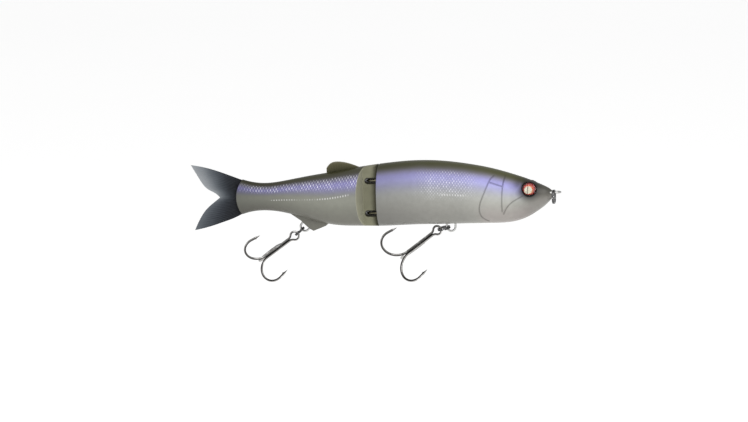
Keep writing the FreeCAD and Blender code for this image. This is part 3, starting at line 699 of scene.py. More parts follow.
def eye_axis(side):
    """Where the eye's middle lies on the flank, and the outward square to the flank there."""
    def flank(station, height):
        back, belly, half, widest = (v[0] for v in offsets(station))
        reach, full = ((back - widest, BACK_FULLNESS) if height > widest
                       else (widest - belly, BELLY_FULLNESS))
        return half * (1 - (abs(height - widest) / reach) ** full) ** (1 / full)
    here = at(EYE_STATION, side * flank(EYE_STATION, EYE_HEIGHT), EYE_HEIGHT)
    aft = at(EYE_STATION + 0.5, side * flank(EYE_STATION + 0.5, EYE_HEIGHT), EYE_HEIGHT)
    over = at(EYE_STATION, side * flank(EYE_STATION, EYE_HEIGHT + 0.5), EYE_HEIGHT + 0.5)
    normal = (aft - here).cross(over - here).normalized()
    return here, normal if normal.y * side > 0 else -normal


def front_hidden(s, y, z):
    """Bare plastic and shade inside the hollow for the tongue."""
    inside = (np.hypot(s - PIVOT, y) < TONGUE_HALF + TONGUE_GAP + 0.05).astype(float)
    return inside, 0.8 * inside


SIDES = {"left": 1, "right": -1}
front_outside = front_grid()
for side_name, side in SIDES.items():
    half = half_from_grid("front_half_" + side_name, *front_outside, side)
    here, normal = eye_axis(side)
    cut(half, rod(here - normal * EYE_DEPTH, normal, EYE_RADIUS + SOCKET_PLAY, SOCKET_LENGTH))
    cut(half, rod(at(PIVOT, 0, -HOLLOW_REACH), UP, TONGUE_HALF + TONGUE_GAP, 2 * HOLLOW_REACH))
    face_out(half)
    mark_skin(half, front_hidden)
    settle(half, "front_section", ["front_shell_" + side_name], paints["front"])

# %% [markdown]
# ## Rear section
# The rear section has an unpainted tongue with a round front, which the pin passes through, then
# raked shoulders that meet the front rim when the bait folds. The same grid makes it: the breadth
# at each station is the smaller of the hull's and the plan's, blended so that corners come out
# rounded as moulded ones do. Two slots let the hinge eyes reach the pin: each is wide at its mouth
# and narrow inside, where it guides the wire.

# %% Rear halves
TAIL_END, TAIL_END_RADIUS, TAIL_END_HEIGHT = 156.2, 17.0, -2.4
CORNER = 0.35
SLOT_HEIGHTS = (5.9, -10.1)
SLOT_HALF, SLOT_START, SLOT_END, SLOT_REACH = 1.6, 80.0, 92.3, 20
SEAT_HALF, SEAT_REACH = 0.78, 1.3
SHOULDER_END, TAIL_ROUND_FROM = 96.4, 148
KEEL = [(131.5, -8.0), (130.4, -10.0), (124.7, -13.8), (120.6, -17.7), (118.4, -18.9),
        (112.4, -16.5), (109.0, -13.5)]
KEEL_HALF = 1.8
KEEL_LAYERS = [(1.0, 0.0), (1.0, 0.55), (0.985, 0.8), (0.955, 0.94), (0.9, 1.0)]


def plan_half(stations):
    """Half breadth of the rear section's plan: round tongue, its sides, then the shoulders."""
    ahead = np.clip(PIVOT - stations, 0, TONGUE_HALF)
    tongue = np.sqrt(TONGUE_HALF ** 2 - ahead ** 2)
    shoulder = TONGUE_HALF + np.clip(stations - SHOULDER_ROOT, 0, None) / SHOULDER_SLOPE
    return np.where(stations < SHOULDER_ROOT, tongue, shoulder)


def soft_least(a, b, blend):
    """The smaller of two, rounded where they cross."""
    share = np.clip(0.5 + 0.5 * (b - a) / blend, 0, 1)
    return b + (a - b) * share - blend * share * (1 - share)


def tail_arc(height):
    """Station of the rear section's round end at a height."""
    rise = np.clip(height - TAIL_END_HEIGHT, -TAIL_END_RADIUS, TAIL_END_RADIUS)
    return TAIL_END - TAIL_END_RADIUS + np.sqrt(TAIL_END_RADIUS ** 2 - rise ** 2)


def rear_grid(columns=110):
    """Stations, heights and breadths of the rear section's outside."""
    front = PIVOT - TONGUE_HALF * np.cos(np.radians(np.linspace(10, 90, 24)))
    rows = np.concatenate([front[:-1], np.linspace(PIVOT, SHOULDER_ROOT - 0.2, 12)[:-1],
                           np.linspace(SHOULDER_ROOT - 0.2, SHOULDER_END, 42)[:-1],
                           np.linspace(SHOULDER_END, TAIL_ROUND_FROM, 80)[:-1],
                           np.linspace(TAIL_ROUND_FROM, BODY_LENGTH, 22)])
    turns = np.linspace(math.pi / 2, -math.pi / 2, columns)
    s0, t = np.meshgrid(rows, turns, indexing="ij")
    share = (s0 - TAIL_ROUND_FROM) / (BODY_LENGTH - TAIL_ROUND_FROM)
    s = s0.copy()
    for _ in range(4):
        _, z, _ = section(s.ravel(), t.ravel())
        rounded = TAIL_ROUND_FROM + share * (tail_arc(z.reshape(s.shape)) - TAIL_ROUND_FROM)
        s = np.where(share > 0, rounded, s0)
    y, z, normal = section(s.ravel(), t.ravel())
    y, z = y.reshape(s.shape), z.reshape(s.shape)
    normal = normal.reshape(s.shape + (2,))
    lip = np.clip((s - tail_arc(z) + CORNER) / CORNER, 0, 1)
    inset = CORNER * (1 - np.sqrt(1 - lip ** 2))
    y = np.maximum(0, y - inset * normal[..., 0])
    z = z - inset * normal[..., 1]
    y = np.maximum(0, soft_least(y, plan_half(s), CORNER))
    y[:, [0, -1]] = 0
    return s, z, y


def slot_tool(height, half, near, far):
    """A cutting tool for one slot between two breadths: open to the front, with a round end."""
    turns = np.linspace(math.pi / 2, -math.pi / 2, 17)
    outline = [(SLOT_END - half + half * math.cos(a), height + half * math.sin(a)) for a in turns]
    outline = [(SLOT_START, height + half)] + outline + [(SLOT_START, height - half)]
    return stack("slot", [at(s, y, z) for y in (near, far) for s, z in outline], len(outline))


def rear_hidden(s, y, z):
    """Bare plastic on the tongue and the shoulders' faces, painted shade in front and in the slots.
    """
    face = SHOULDER_ROOT + SHOULDER_SLOPE * (y - TONGUE_HALF) + 0.30
    # Painted shade: the tongue darkens towards its front, in the gap under the front rim, and inside
    # both slots.
    painted_shade = 0.62 * np.clip((89.4 - s) / 3.2, 0, 1) ** 1.4
    for height in SLOT_HEIGHTS:
        inside = (np.abs(z - height) < SLOT_HALF + 0.02) & (y < 2.0) & (s < SLOT_END + 0.05)
        painted_shade = np.where(inside, 0.85, painted_shade)
    return np.clip((face - s) / 0.3, 0, 1), painted_shade


def keel_half(side):
    """The keel: a plate that thins towards its rounded lower edge."""
    outline = np.array(KEEL)
    middle = outline.mean(axis=0)
    points = [at(s, side * KEEL_HALF * out, z) for share, out in KEEL_LAYERS
              for s, z in middle + (outline - middle) * share]
    return stack("keel", points, len(outline))


rear_outside = rear_grid()
for side_name, side in SIDES.items():
    half = half_from_grid("rear_half_" + side_name, *rear_outside, side)
    for height in SLOT_HEIGHTS:
        cut(half, slot_tool(height, SEAT_HALF, -SLOT_REACH, SLOT_REACH))
        cut(half, slot_tool(height, SLOT_HALF, *sorted((side * SEAT_REACH, side * SLOT_REACH))))
    face_out(half)
    half = join("rear_half_" + side_name, [half, keel_half(side)])
    mark_skin(half, rear_hidden)
    settle(half, "rear_section", ["rear_shell_" + side_name], paints["rear"])

# %% [markdown]
# ## Eyes
# An eye is a printed foil disc under a clear dome, with a black lacquered rim round the dome's
# edge. The print has a silver pupil, split by a dark stroke into two painted reflections, and a red
# and orange iris that shades outwards. All three are turned shapes: a short profile spun round the
# eye's axis.

# %% Eye print and dome finishes
DISC_THICKNESS, DOME_EDGE, DOME_RISE, RIM_WIDTH = 0.5, 1.0, 1.1, 0.50
PUPIL_AFT, PUPIL_LOW, AXIS_RADIUS = 0.10, 0.12, 0.05


def eye_print(name):
    """Rings of colour by distance from the eye's middle, from the disc's own attribute."""
    material, tree, shader = finish_of(name, Roughness=0.5, Specular_IOR_Level=0.05)
    along, up, _ = stored(tree, "face")
    far = distance(tree, along, up)
    shifted, lifted = plus(tree, along, PUPIL_AFT), plus(tree, up, PUPIL_LOW)
    wobble = times(tree, less(tree, noise(tree, 1400.0, 4.0), 0.5), 0.05)
    iris = ramp(tree, plus(tree, far, wobble),
                [(0.0, 222, 96, 30), (0.46, 226, 92, 20), (0.55, 196, 16, 2),
                 (0.72, 138, 6, 2), (0.84, 40, 4, 3), (1.0, 8, 8, 8)], "LINEAR")
    warm = band(tree, less(tree, wobble, up), 0.10, 0.46)
    iris = over(tree, iris, warm, less(tree, 1.0, band(tree, far, 0.50, 0.64)),
                srgb(238, 158, 66))
    pupil = less(tree, 1.0, band(tree, distance(tree, shifted, lifted), 0.42, 0.49))
    # Painted reflection: a dark stroke down the silver pupil splits it into two painted reflections
    # of soft lights.
    reflection_gap = band(tree, calc(tree, "ABSOLUTE", plus(tree, shifted, 0.06)), 0.02, 0.09)
    silver = mix(tree, reflection_gap, srgb(122, 112, 92), srgb(226, 220, 196))
    feed(tree, shader, Base_Color=mix(tree, pupil, iris, silver))
    bump(tree, shader, noise(tree, 900.0, 3.0), 0.08, 0.03 * MM)
    return material


rim_black = spotted("black_rim_lacquer", (800.0, 3.0), (6, 4, 4), (22, 15, 12),
                    (1600.0, 3.0, 0.2, 0.02), Roughness=0.3, Specular_IOR_Level=0.12)[0]
dome_glass, tree, shader = spotted(
    "clear_dome", (700.0, 3.0, 0.35, 0.8), (255, 255, 255), (246, 244, 240), Roughness=0.03,
    IOR=1.45, Transmission_Weight=1.0, Specular_IOR_Level=0.10)
feed(tree, shader, Roughness=scaled(tree, noise(tree, 1500.0, 5.0), 0.05, 0.01))


# %% Eyes in their sockets
def face_attribute(obj, centre, normal):
    """Each point's place on the eye's face, as shares of its radius: forward and up."""
    up, forward = ((way - normal * way.dot(normal)).normalized() for way in (UP, FORWARD))
    places = [vertex.co / MM - centre for vertex in obj.data.vertices]
    write_vectors(obj, "face", [(p.dot(forward) / EYE_RADIUS, p.dot(up) / EYE_RADIUS, 0)
                                for p in places])


clear_radius = EYE_RADIUS - RIM_WIDTH
ball = (clear_radius ** 2 + DOME_RISE ** 2) / (2 * DOME_RISE)
top = DISC_THICKNESS + DOME_EDGE + DOME_RISE
shoulder = DISC_THICKNESS + DOME_EDGE
disc_profile = [(AXIS_RADIUS, 0), (EYE_RADIUS - 0.12, 0), (EYE_RADIUS, 0.08),
                (EYE_RADIUS, DISC_THICKNESS - 0.14)]
disc_profile += [(r, DISC_THICKNESS - 0.10 * (r / EYE_RADIUS) ** 2)
                 for r in np.linspace(EYE_RADIUS - 0.06, AXIS_RADIUS, 24)]
dome_profile = [(AXIS_RADIUS, DISC_THICKNESS + 0.01), (clear_radius - 0.04, DISC_THICKNESS + 0.01),
                (clear_radius, DISC_THICKNESS + 0.06)]
dome_profile += [(r, top - ball + math.sqrt(ball ** 2 - r ** 2))
                 for r in np.linspace(clear_radius, AXIS_RADIUS, 28)]
rim_profile = [(clear_radius + 0.01, DISC_THICKNESS + 0.02), (EYE_RADIUS, DISC_THICKNESS + 0.02),
               (EYE_RADIUS, shoulder - 0.12), (EYE_RADIUS - 0.05, shoulder + 0.02),
               (EYE_RADIUS - 0.16, shoulder + 0.14), (clear_radius + 0.17, shoulder + 0.20),
               (clear_radius + 0.05, shoulder + 0.14), (clear_radius + 0.01, shoulder + 0.02)]
for side_name, side in SIDES.items():
    here, normal = eye_axis(side)
    floor = here - normal * EYE_DEPTH
    disc = turned("eye_print_" + side_name, floor, normal, disc_profile)
    face_attribute(disc, here, normal)
    settle(disc, "front_section", ["eye_disc_" + side_name],
           eye_print("eye_print_" + side_name))
    dome = turned("eye_dome_clear_" + side_name, floor, normal, dome_profile)
    settle(dome, "front_section", ["eye_dome_" + side_name], dome_glass)
    border = turned_ring("eye_rim_" + side_name, floor, normal, rim_profile)
    settle(border, "front_section", [], rim_black)

# %% [markdown]
# ## Metal finishes
# The eyes and links are bright drawn stainless wire, but the hinge eyes are dark olive: painted
# shade and a painted reflection of the plastic round them in their slots. Rings and hooks are
# plated dark nickel: almost black, with sharp highlights, fine draw marks along the wire, and paler
# metal where the plating is thin. On the hooks the pale patches are partly painted highlights,
# and two sides of the wire carry painted shade, a sheen in place of dark reflections.

# %% Steel finishes
def steel(name, base, pale, rough, wear_from=0.62, painted_sheen=0.0):
    """Plated or drawn wire. The last argument is how dark the painted shade on two sides of it is.
    """
    material, tree, shader = finish_of(name, Metallic=1.0, Roughness=rough,
                                       Specular_IOR_Level=0.5)
    wear_and_painted_light = band(tree, noise(tree, 190.0, 6.0), wear_from, wear_from + 0.16)
    fine = band(tree, noise(tree, 1900.0, 3.0), 0.35, 0.75)
    colour = mix(tree, wear_and_painted_light, srgb(*base), srgb(*pale))
    colour = over(tree, colour, fine, 0.25, srgb(*pale))
    if painted_sheen:
        side = node(tree, "ShaderNodeAttribute", attribute_name="painted_sheen").outputs["Fac"]
        # Painted shade on two sides of the wire, a sheen that stands in for dark reflections.
        colour = over(tree, colour, band(tree, side, 0.40, 0.80), painted_sheen, srgb(34, 33, 32))
    feed(tree, shader, Base_Color=colour, Roughness=scaled(tree, fine, 0.14, rough - 0.06))
    bump(tree, shader, noise(tree, 3200.0, 3.0), 0.15, 0.02 * MM)
    return material


bright_wire = steel("bright_drawn_wire", (176, 176, 174), (214, 214, 212), 0.24)
ring_plate = steel("dark_nickel_ring", (74, 74, 74), (160, 160, 160), 0.24, 0.58)
# On the hooks the pale patches are partly painted highlights, and the last value darkens two sides
# of the wire as painted shade.
hook_plate_painted_sheen = steel("dark_nickel_hook_painted_sheen", (150, 148, 145), (236, 235, 233), 0.18, 0.52, 0.9)
# Painted shade and a painted reflection: the hinge eyes' wire is dark olive, as it looks in the
# shade of its slots among olive plastic.
shaded_hinge_wire = steel("hinge_wire_painted_shade", (92, 88, 72), (150, 145, 124), 0.34, 0.60)
print("steels:", bright_wire.name, ring_plate.name, hook_plate_painted_sheen.name)

# %% [markdown]
# ## Bent wire as a node tree
# Hooks, eyes and hangers all follow one rule: round wire swept along a bent path. A Geometry
# Nodes tree does the sweep. Its path is a chain of points, each with a "thickness" that sharpens
# a hook's point, and its named inputs are the wire's radius and how many sides it has. It also
# writes an attribute that swings from 0 to 1 round the wire, for painted shade along two sides of
# the hooks, a painted sheen in place of dark reflections.

# %% The wire tree
def sweep_tree(name, inputs, profile_rule):
    """A tree that sweeps a profile along a path, with its inputs' identifiers. profile_rule makes
    the sweep's settings from the tree, its inputs and the path as a curve."""
    tree = bpy.data.node_groups.new(name, "GeometryNodeTree")
    sockets = {}
    for label, kind, value in [("Path", "Geometry", None), *inputs, ("Material", "Material", None)]:
        socket = tree.interface.new_socket(label, in_out="INPUT", socket_type="NodeSocket" + kind)
        if value is not None:
            socket.default_value = value
        sockets[label] = socket.identifier
    tree.interface.new_socket("Mesh", in_out="OUTPUT", socket_type="NodeSocketGeometry")
    given = tree.nodes.new("NodeGroupInput").outputs
    curve = node(tree, "GeometryNodeMeshToCurve", {0: given["Path"]}).outputs[0]
    swept = node(tree, "GeometryNodeCurveToMesh",
                 {**profile_rule(tree, given, curve), "Fill Caps": True})
    real = node(tree, "GeometryNodeRealizeInstances", {0: swept.outputs[0]})
    made = node(tree, "GeometryNodeSetMaterial", {0: real.outputs[0], "Material": given["Material"]})
    out = tree.nodes.new("NodeGroupOutput")
    tree.links.new(made.outputs[0], out.inputs[0])
    return tree, sockets


def round_profile(tree, given, curve):
    """A circle that carries the painted sheen's swing round the wire, sized along the path by its
    thickness.
    """
    thick = node(tree, "GeometryNodeInputNamedAttribute", {"Name": "thickness"},
                 data_type="FLOAT")
    profile = node(tree, "GeometryNodeCurvePrimitiveCircle",
                   {"Resolution": given["Sides"], "Radius": given["Wire radius"]}, mode="RADIUS")
    round_it = node(tree, "GeometryNodeSplineParameter").outputs["Factor"]
    wave = calc(tree, "COSINE", times(tree, round_it, 4 * math.pi))
    # The swing round the wire that the finish turns into painted shade on two sides.
    with_sheen = node(tree, "GeometryNodeStoreNamedAttribute",
                  {"Geometry": profile.outputs[0], "Name": "painted_sheen",
                   "Value": scaled(tree, wave, 0.5, 0.5)}, data_type="FLOAT", domain="POINT")
    return {"Curve": curve, "Profile Curve": with_sheen.outputs[0], "Scale": thick.outputs[0]}


WIRE_TREE = sweep_tree("Bent wire", [("Wire radius", "Float", 0.00055), ("Sides", "Int", 20)],
                       round_profile)


def grow(base, tree_and_sockets, values):
    """Runs a node tree on base and returns the plain mesh it makes as a new object."""
    tree, sockets = tree_and_sockets
    name = base.name
    modifier = base.modifiers.new("tree", "NODES")
    modifier.node_group = tree
    for label, value in values.items():
        modifier[sockets[label]] = value
    base.update_tag()
    bpy.context.view_layer.update()
    mesh = take_mesh(base, modifier)
    bpy.data.objects.remove(base)
    obj = add_object(name, mesh)
    face_out(obj)
    return obj


def swept_wire(name, points, thickness, radius, material, closed=False, sides=20):
    """Round wire along points in millimetres, thinned by thickness."""
    count = len(points)
    edges = [(i, (i + 1) % count) for i in range(count if closed else count - 1)]
    base = mesh_object(name, points, edges=edges)
    attribute = base.data.attributes.new("thickness", "FLOAT", "POINT")
    attribute.data.foreach_set("value", thickness)
    return grow(base, WIRE_TREE, {"Wire radius": radius * MM, "Sides": sides,
                                  "Material": material})


class Bent:
    """A path laid out the way wire is bent: straights, bends and a tapered end."""

    def __init__(self, start, heading):
        self.points = [start.copy()]
        self.thickness = [1.0]
        self.heading = heading.normalized()

    def add(self, point, thickness=1.0):
        self.points.append(point)
        self.thickness.append(thickness)

    def straight(self, length, pieces=6):
        start = self.points[-1].copy()
        for k in range(1, pieces + 1):
            self.add(start + self.heading * (length * k / pieces))
        return self

    def bend(self, radius, degrees, axis, step=5.0):
        side = 1 if degrees > 0 else -1
        start = self.points[-1].copy()
        centre = start + axis.cross(self.heading) * (radius * side)
        pieces = max(3, round(abs(degrees) / step))
        for k in range(1, pieces + 1):
            turn = Matrix.Rotation(math.radians(degrees * k / pieces), 3, axis)
            self.add(centre + turn @ (start - centre))
        self.heading = Matrix.Rotation(math.radians(degrees), 3, axis) @ self.heading
        return self

    def taper(self, length, tip, pieces):
        start = self.points[-1].copy()
        for k in range(1, pieces + 1):
            share = k / pieces
            self.add(start + self.heading * (length * share), 1 - (1 - tip) * share ** 1.4)
        return self


def link(name, outer, inner, axis, bend, radius, material):
    """A closed link of wire with half-circle bends round outer and inner."""
    along = (inner - outer).normalized()
    length = (inner - outer).length
    path = Bent(outer + axis.cross(along) * bend, along)
    path.straight(length).bend(bend, -180, axis).straight(length).bend(bend, -180, axis)
    return swept_wire(name, path.points[:-1], path.thickness[:-1], radius, material, closed=True,
                      sides=24)


# %% [markdown]
# ## Fittings
# Five links of wire are moulded into the body. Each is a flat loop, so two bend centres and the
# square to its plane say all there is.

# %% Line tie, hinge eyes and hangers
TIE_ROOT, TIE_BEND, TIE_WIRE = 6.5, 1.85, 0.55
EYE_ROOT, PIN_EYE_BEND, PIN_EYE_WIRE = 79.5, 1.5, 0.6
HANGER_BEND, HANGER_WIRE, FRONT_HANGER_LENGTH = 2.15, 0.55, 7.6
REAR_HANGER_LENGTH, REAR_HANGER_RAKE = 6.6, math.radians(47)
joints = {joint["name"]: joint for joint in frame["joints"]}
front_hanger, rear_hanger = (Vector(joints[name]["pos_m"]) / MM
                             for name in ("front_ring_swing", "rear_ring_swing"))
rear_rake = Vector((math.cos(REAR_HANGER_RAKE), 0, math.sin(REAR_HANGER_RAKE)))
tie = (UP, TIE_BEND, TIE_WIRE, bright_wire)
hinge = (UP, PIN_EYE_BEND, PIN_EYE_WIRE, shaded_hinge_wire)
hanging = (LEFT, HANGER_BEND, HANGER_WIRE, bright_wire)
links = {
    "line_tie_eye": (at(-TIE_REACH, 0, 0), at(TIE_ROOT, 0, 0), *tie),
    "hinge_eye_upper": (at(PIVOT, 0, SLOT_HEIGHTS[0]), at(EYE_ROOT, 0, SLOT_HEIGHTS[0]), *hinge),
    "hinge_eye_lower": (at(PIVOT, 0, SLOT_HEIGHTS[1]), at(EYE_ROOT, 0, SLOT_HEIGHTS[1]), *hinge),
    "front_hook_hanger": (front_hanger, front_hanger + UP * FRONT_HANGER_LENGTH, *hanging),
    "rear_hook_hanger": (rear_hanger, rear_hanger + rear_rake * REAR_HANGER_LENGTH, *hanging),
}
for link_name, shape in links.items():
    body = "rear_section" if link_name == "rear_hook_hanger" else "front_section"
    settle(link(link_name + "_wire", *shape), body, [link_name])

# %% [markdown]
# ## Split rings
# A split ring is flat wire wound twice round, with a jog where one turn crosses to the other. A
# second tree sweeps a rounded flat profile along that path. The ring is made flat, then laid
# where it hangs: each ring's lie is three angles, as for the hooks.

# %% The ring tree
RING_WIDTH, RING_TURN, RING_SPLIT, RING_RAMP = 0.8, 0.55, 0.06, 24.0
RING_ROUND, RING_POINTS = 0.16, 200
LINK_PLAY = 0.1


def flat_profile(tree, given, curve):
    """A rounded rectangle that stands upright along the path."""
    upright = node(tree, "GeometryNodeSetCurveNormal", {"Curve": curve}, mode="Z_UP")
    flat = node(tree, "GeometryNodeCurvePrimitiveQuadrilateral",
                {"Width": given["Width"], "Height": given["Turn"]}, mode="RECTANGLE")
    rounded = node(tree, "GeometryNodeFilletCurve",
                   {"Curve": flat.outputs[0], "Radius": given["Corner"], "Count": 4}, mode="POLY")
    return {"Curve": upright.outputs[0], "Profile Curve": rounded.outputs[0]}


RING_TREE = sweep_tree("Split ring", [("Width", "Float", RING_WIDTH * MM),
                                      ("Turn", "Float", RING_TURN * MM),
                                      ("Corner", "Float", RING_ROUND * MM)], flat_profile)


def lay(obj, origin, x_axis, z_axis):
    """Moves a piece from upright at the origin to where it hangs."""
    turn = Matrix((x_axis, z_axis.cross(x_axis), z_axis)).transposed()
    obj.data.transform(Matrix.Translation(origin * MM) @ turn.to_4x4())


def split_ring(name, outer, origin, x_axis, z_axis):
    """A two-turn ring, its crossing at local -Y, laid at origin with its local axes."""
    middle = outer - RING_WIDTH / 2
    rise = (RING_TURN + RING_SPLIT) / 2
    sweep = 360 - RING_RAMP
    points = []
    for angle in np.linspace(0, 2 * sweep + RING_RAMP, RING_POINTS):
        over_share = min(1, max(0, (angle - sweep) / RING_RAMP))
        lift = -rise + 2 * rise * (3 * over_share ** 2 - 2 * over_share ** 3)
        a = math.radians(-90 + RING_RAMP / 2 + angle)
        points.append(Vector((middle * math.cos(a), middle * math.sin(a), lift)))
    base = mesh_object(name, points, edges=[(i, i + 1) for i in range(RING_POINTS - 1)])
    ring = grow(base, RING_TREE, {"Material": ring_plate})
    lay(ring, origin, x_axis, z_axis)
    return ring


# %% How the tackle lies
FRONT_TREBLE = {"length": 30.0, "reach": 16.2, "wire": 0.62}
REAR_TREBLE = {"length": 27.0, "reach": 14.0, "wire": 0.58}
TACKLE = {
    "front": (front_hanger, 3.25, (12.0, 0.0, -8.0), (36.5, 12.0, 2.0), FRONT_TREBLE),
    "rear": (rear_hanger, 3.0, (42.0, -18.0, 0.0), (36.0, 6.0, -6.0), REAR_TREBLE),
}
NOSE_RING_OUTER, NOSE_RING_STATION = 3.5, -1.0
ring_corner = math.hypot(RING_WIDTH / 2 - RING_ROUND,
                         RING_TURN + RING_SPLIT / 2 - RING_ROUND) + RING_ROUND


def lying(lie):
    """The direction that a piece of tackle points in: below the horizontal, pointing back."""
    drop, swing = math.radians(lie[0]), math.radians(lie[1])
    return Vector((-math.cos(drop) * math.cos(swing), math.sin(swing),
                   -math.sin(drop) * math.cos(swing)))


def rolled_left(direction, roll):
    """The left-hand direction made square to direction, then rolled about it."""
    square = (LEFT - direction * LEFT.dot(direction)).normalized()
    return Matrix.Rotation(math.radians(roll), 3, direction) @ square


def ring_joint(hanger, lie):
    """The middle of the ring's wire where it passes through the hanger."""
    direction = lying(lie)
    flat = Vector((direction.x, 0, direction.z)).normalized()
    return hanger + flat * (HANGER_BEND - HANGER_WIRE - LINK_PLAY - ring_corner)


def hook_joint(hanger, lie, outer):
    """The middle of the ring's wire on the far side, in the hook's eye."""
    return ring_joint(hanger, lie) + lying(lie) * (2 * outer - RING_WIDTH)


for end, (hanger, outer, lie, _, _) in TACKLE.items():
    direction = lying(lie)
    centre = ring_joint(hanger, lie) + direction * (outer - RING_WIDTH / 2)
    made = split_ring(end + "_ring_wound", outer, centre, direction,
                      direction.cross(rolled_left(direction, lie[2])))
    settle(made, end + "_ring", [end + "_split_ring"])
    gap = hook_joint(hanger, lie, outer) - Vector(joints[end + "_hook_swing"]["pos_m"]) / MM
    print(end, "hook is", round(gap.length, 4), "mm from the frame's joint")
nose_drop = NOSE_RING_OUTER - RING_WIDTH - TIE_WIRE - LINK_PLAY
made = split_ring("nose_ring_wound", NOSE_RING_OUTER, at(NOSE_RING_STATION, -TIE_BEND, -nose_drop),
                  -UP, FORWARD)
settle(made, "nose_ring", ["nose_split_ring"])

# %% [markdown]
# ## Treble hooks
# A treble is made from two wires. One is bent into the eye, and both of its ends become points.
# The other has a single point, and is brazed into the groove between the shanks. Each wire is one
# path through the wire tree, thinned towards its needle point and a little round the eye, and a
# sliver of metal stands up behind each point as the barb.

# %% Hook wires
HOOK_EYE_BEND, HOOK_NECK_BEND, HOOK_LEAN = 2.1, 3.0, 10.0
HOOK_POINT, HOOK_TAPER, POINT_TIP = 5.1, 3.2, 0.06
EYE_THINNING = 0.13
BARB_LENGTH, BARB_RISE, BARB_HALF, BARB_HANG = 1.5, 0.45, 0.18, 0.15
SHANK_SQUEEZE = 0.94
SINGLE_START, SINGLE_ROUND, SINGLE_TIP = 1.8, 0.35, 0.72
BRAZE_THICKNESS, BRAZE_GAP = 0.9, 0.4


def arm(start, length, out, bend):
    """A shank with its bend and point: the path, and where the barb stands."""
    axis = out.cross(UP)
    path = Bent(start, -UP).straight(length - bend, 10).bend(bend, 180 + HOOK_LEAN, axis, 4.0)
    path.straight(HOOK_POINT - HOOK_TAPER, 4)
    root, heading = path.points[-1].copy(), path.heading.copy()
    path.taper(HOOK_TAPER, POINT_TIP, 12)
    return path, (root, heading, axis.cross(heading).normalized(), axis)


def barb(root, heading, inward, axis, radius):
    """A thin curved wedge that rises towards the bend."""
    profile = [(BARB_LENGTH, 0.2), (BARB_LENGTH * 0.6, 0.42 + BARB_RISE * 0.35),
               (BARB_LENGTH * 0.25, radius + BARB_RISE * 0.62),
               (-BARB_HANG, radius + BARB_RISE), (0.12, radius * 0.8), (0.2, 0.1)]
    points = [root + heading * a + inward * b + axis * (BARB_HALF * w)
              for w in (-1, 1) for a, b in profile]
    return stack("barb", points, len(profile))


def treble(name, hook):
    """The eyed double wire and the single wire, upright about local Z."""
    radius = hook["wire"]
    spread = radius * SHANK_SQUEEZE
    bend = (hook["reach"] - radius * (1 + 2 * SHANK_SQUEEZE / math.sqrt(3))) / 2
    turn = math.acos((spread + HOOK_NECK_BEND) / (HOOK_EYE_BEND + HOOK_NECK_BEND))
    neck = -(HOOK_EYE_BEND + (HOOK_EYE_BEND + HOOK_NECK_BEND) * math.sin(turn))
    bottom = radius - hook["length"]
    eye = Bent(Vector((spread, 0, neck)), UP)
    eye.bend(HOOK_NECK_BEND, math.degrees(turn), LEFT)
    eye.bend(HOOK_EYE_BEND, -(180 + 2 * math.degrees(turn)), LEFT)
    eye.bend(HOOK_NECK_BEND, math.degrees(turn), LEFT)
    last = len(eye.points) - 1
    eye.thickness = [1 - EYE_THINNING * math.sqrt(math.sin(math.pi * k / last) + 1e-9)
                     for k in range(last + 1)]
    half = math.sqrt(3) / 2
    right, right_barb = arm(Vector((spread, 0, neck)), neck - bottom, Vector((half, -0.5, 0)), bend)
    left, left_barb = arm(Vector((-spread, 0, neck)), neck - bottom, Vector((-half, -0.5, 0)), bend)
    points = right.points[::-1] + eye.points[1:-1] + left.points
    thickness = right.thickness[::-1] + eye.thickness[1:-1] + left.thickness
    pieces = [swept_wire(name, points, thickness, radius, hook_plate_painted_sheen)]
    pieces += [barb(*right_barb, radius), barb(*left_barb, radius)]
    start = Vector((0, spread * math.sqrt(3), neck - SINGLE_START))
    single_path, single_barb = arm(start, start.z - bottom, LEFT, bend)
    single_path.thickness[0] = SINGLE_TIP
    single_path.points.insert(1, start - UP * SINGLE_ROUND)
    single_path.thickness.insert(1, 1.0)
    foot = bottom + bend + BRAZE_GAP
    braze = Bent(Vector((0, spread / math.sqrt(3), foot)), UP)
    braze.straight(start.z - SINGLE_START * 0.3 - foot, 24)
    shares = np.linspace(0, 1, len(braze.points))
    filling = BRAZE_THICKNESS * np.minimum(1, 5 * np.minimum(shares, 1 - shares) + 0.25)
    pieces.append(swept_wire("braze", braze.points, filling, radius, hook_plate_painted_sheen))
    singles = [swept_wire(name, single_path.points, single_path.thickness, radius, hook_plate_painted_sheen),
               barb(*single_barb, radius)]
    return join(name + "_double_wire", pieces), join(name + "_single_wire", singles)


for end, (hanger, outer, ring_lie, lie, hook) in TACKLE.items():
    shank = lying(lie)
    top = hook_joint(hanger, ring_lie, outer) - shank * (ring_corner + LINK_PLAY + hook["wire"])
    for obj, wires in zip(treble(end + "_treble", hook), ("double", "single")):
        lay(obj, top, shank.cross(rolled_left(shank, lie[2])), -shank)
        settle(obj, end + "_treble", [end + "_treble_" + wires], hook_plate_painted_sheen)

# %% [markdown]
# ## Soft fins
# The tail and the back fin are soft plastic with fine rays, thick at the root and thin at the
# margin. Each is a patch stretched between four edge curves: the root, the margin and the two
# sides. Rays are lines of the patch that run from root to margin, so they fan out by themselves
# and are raised as real ridges on both faces.

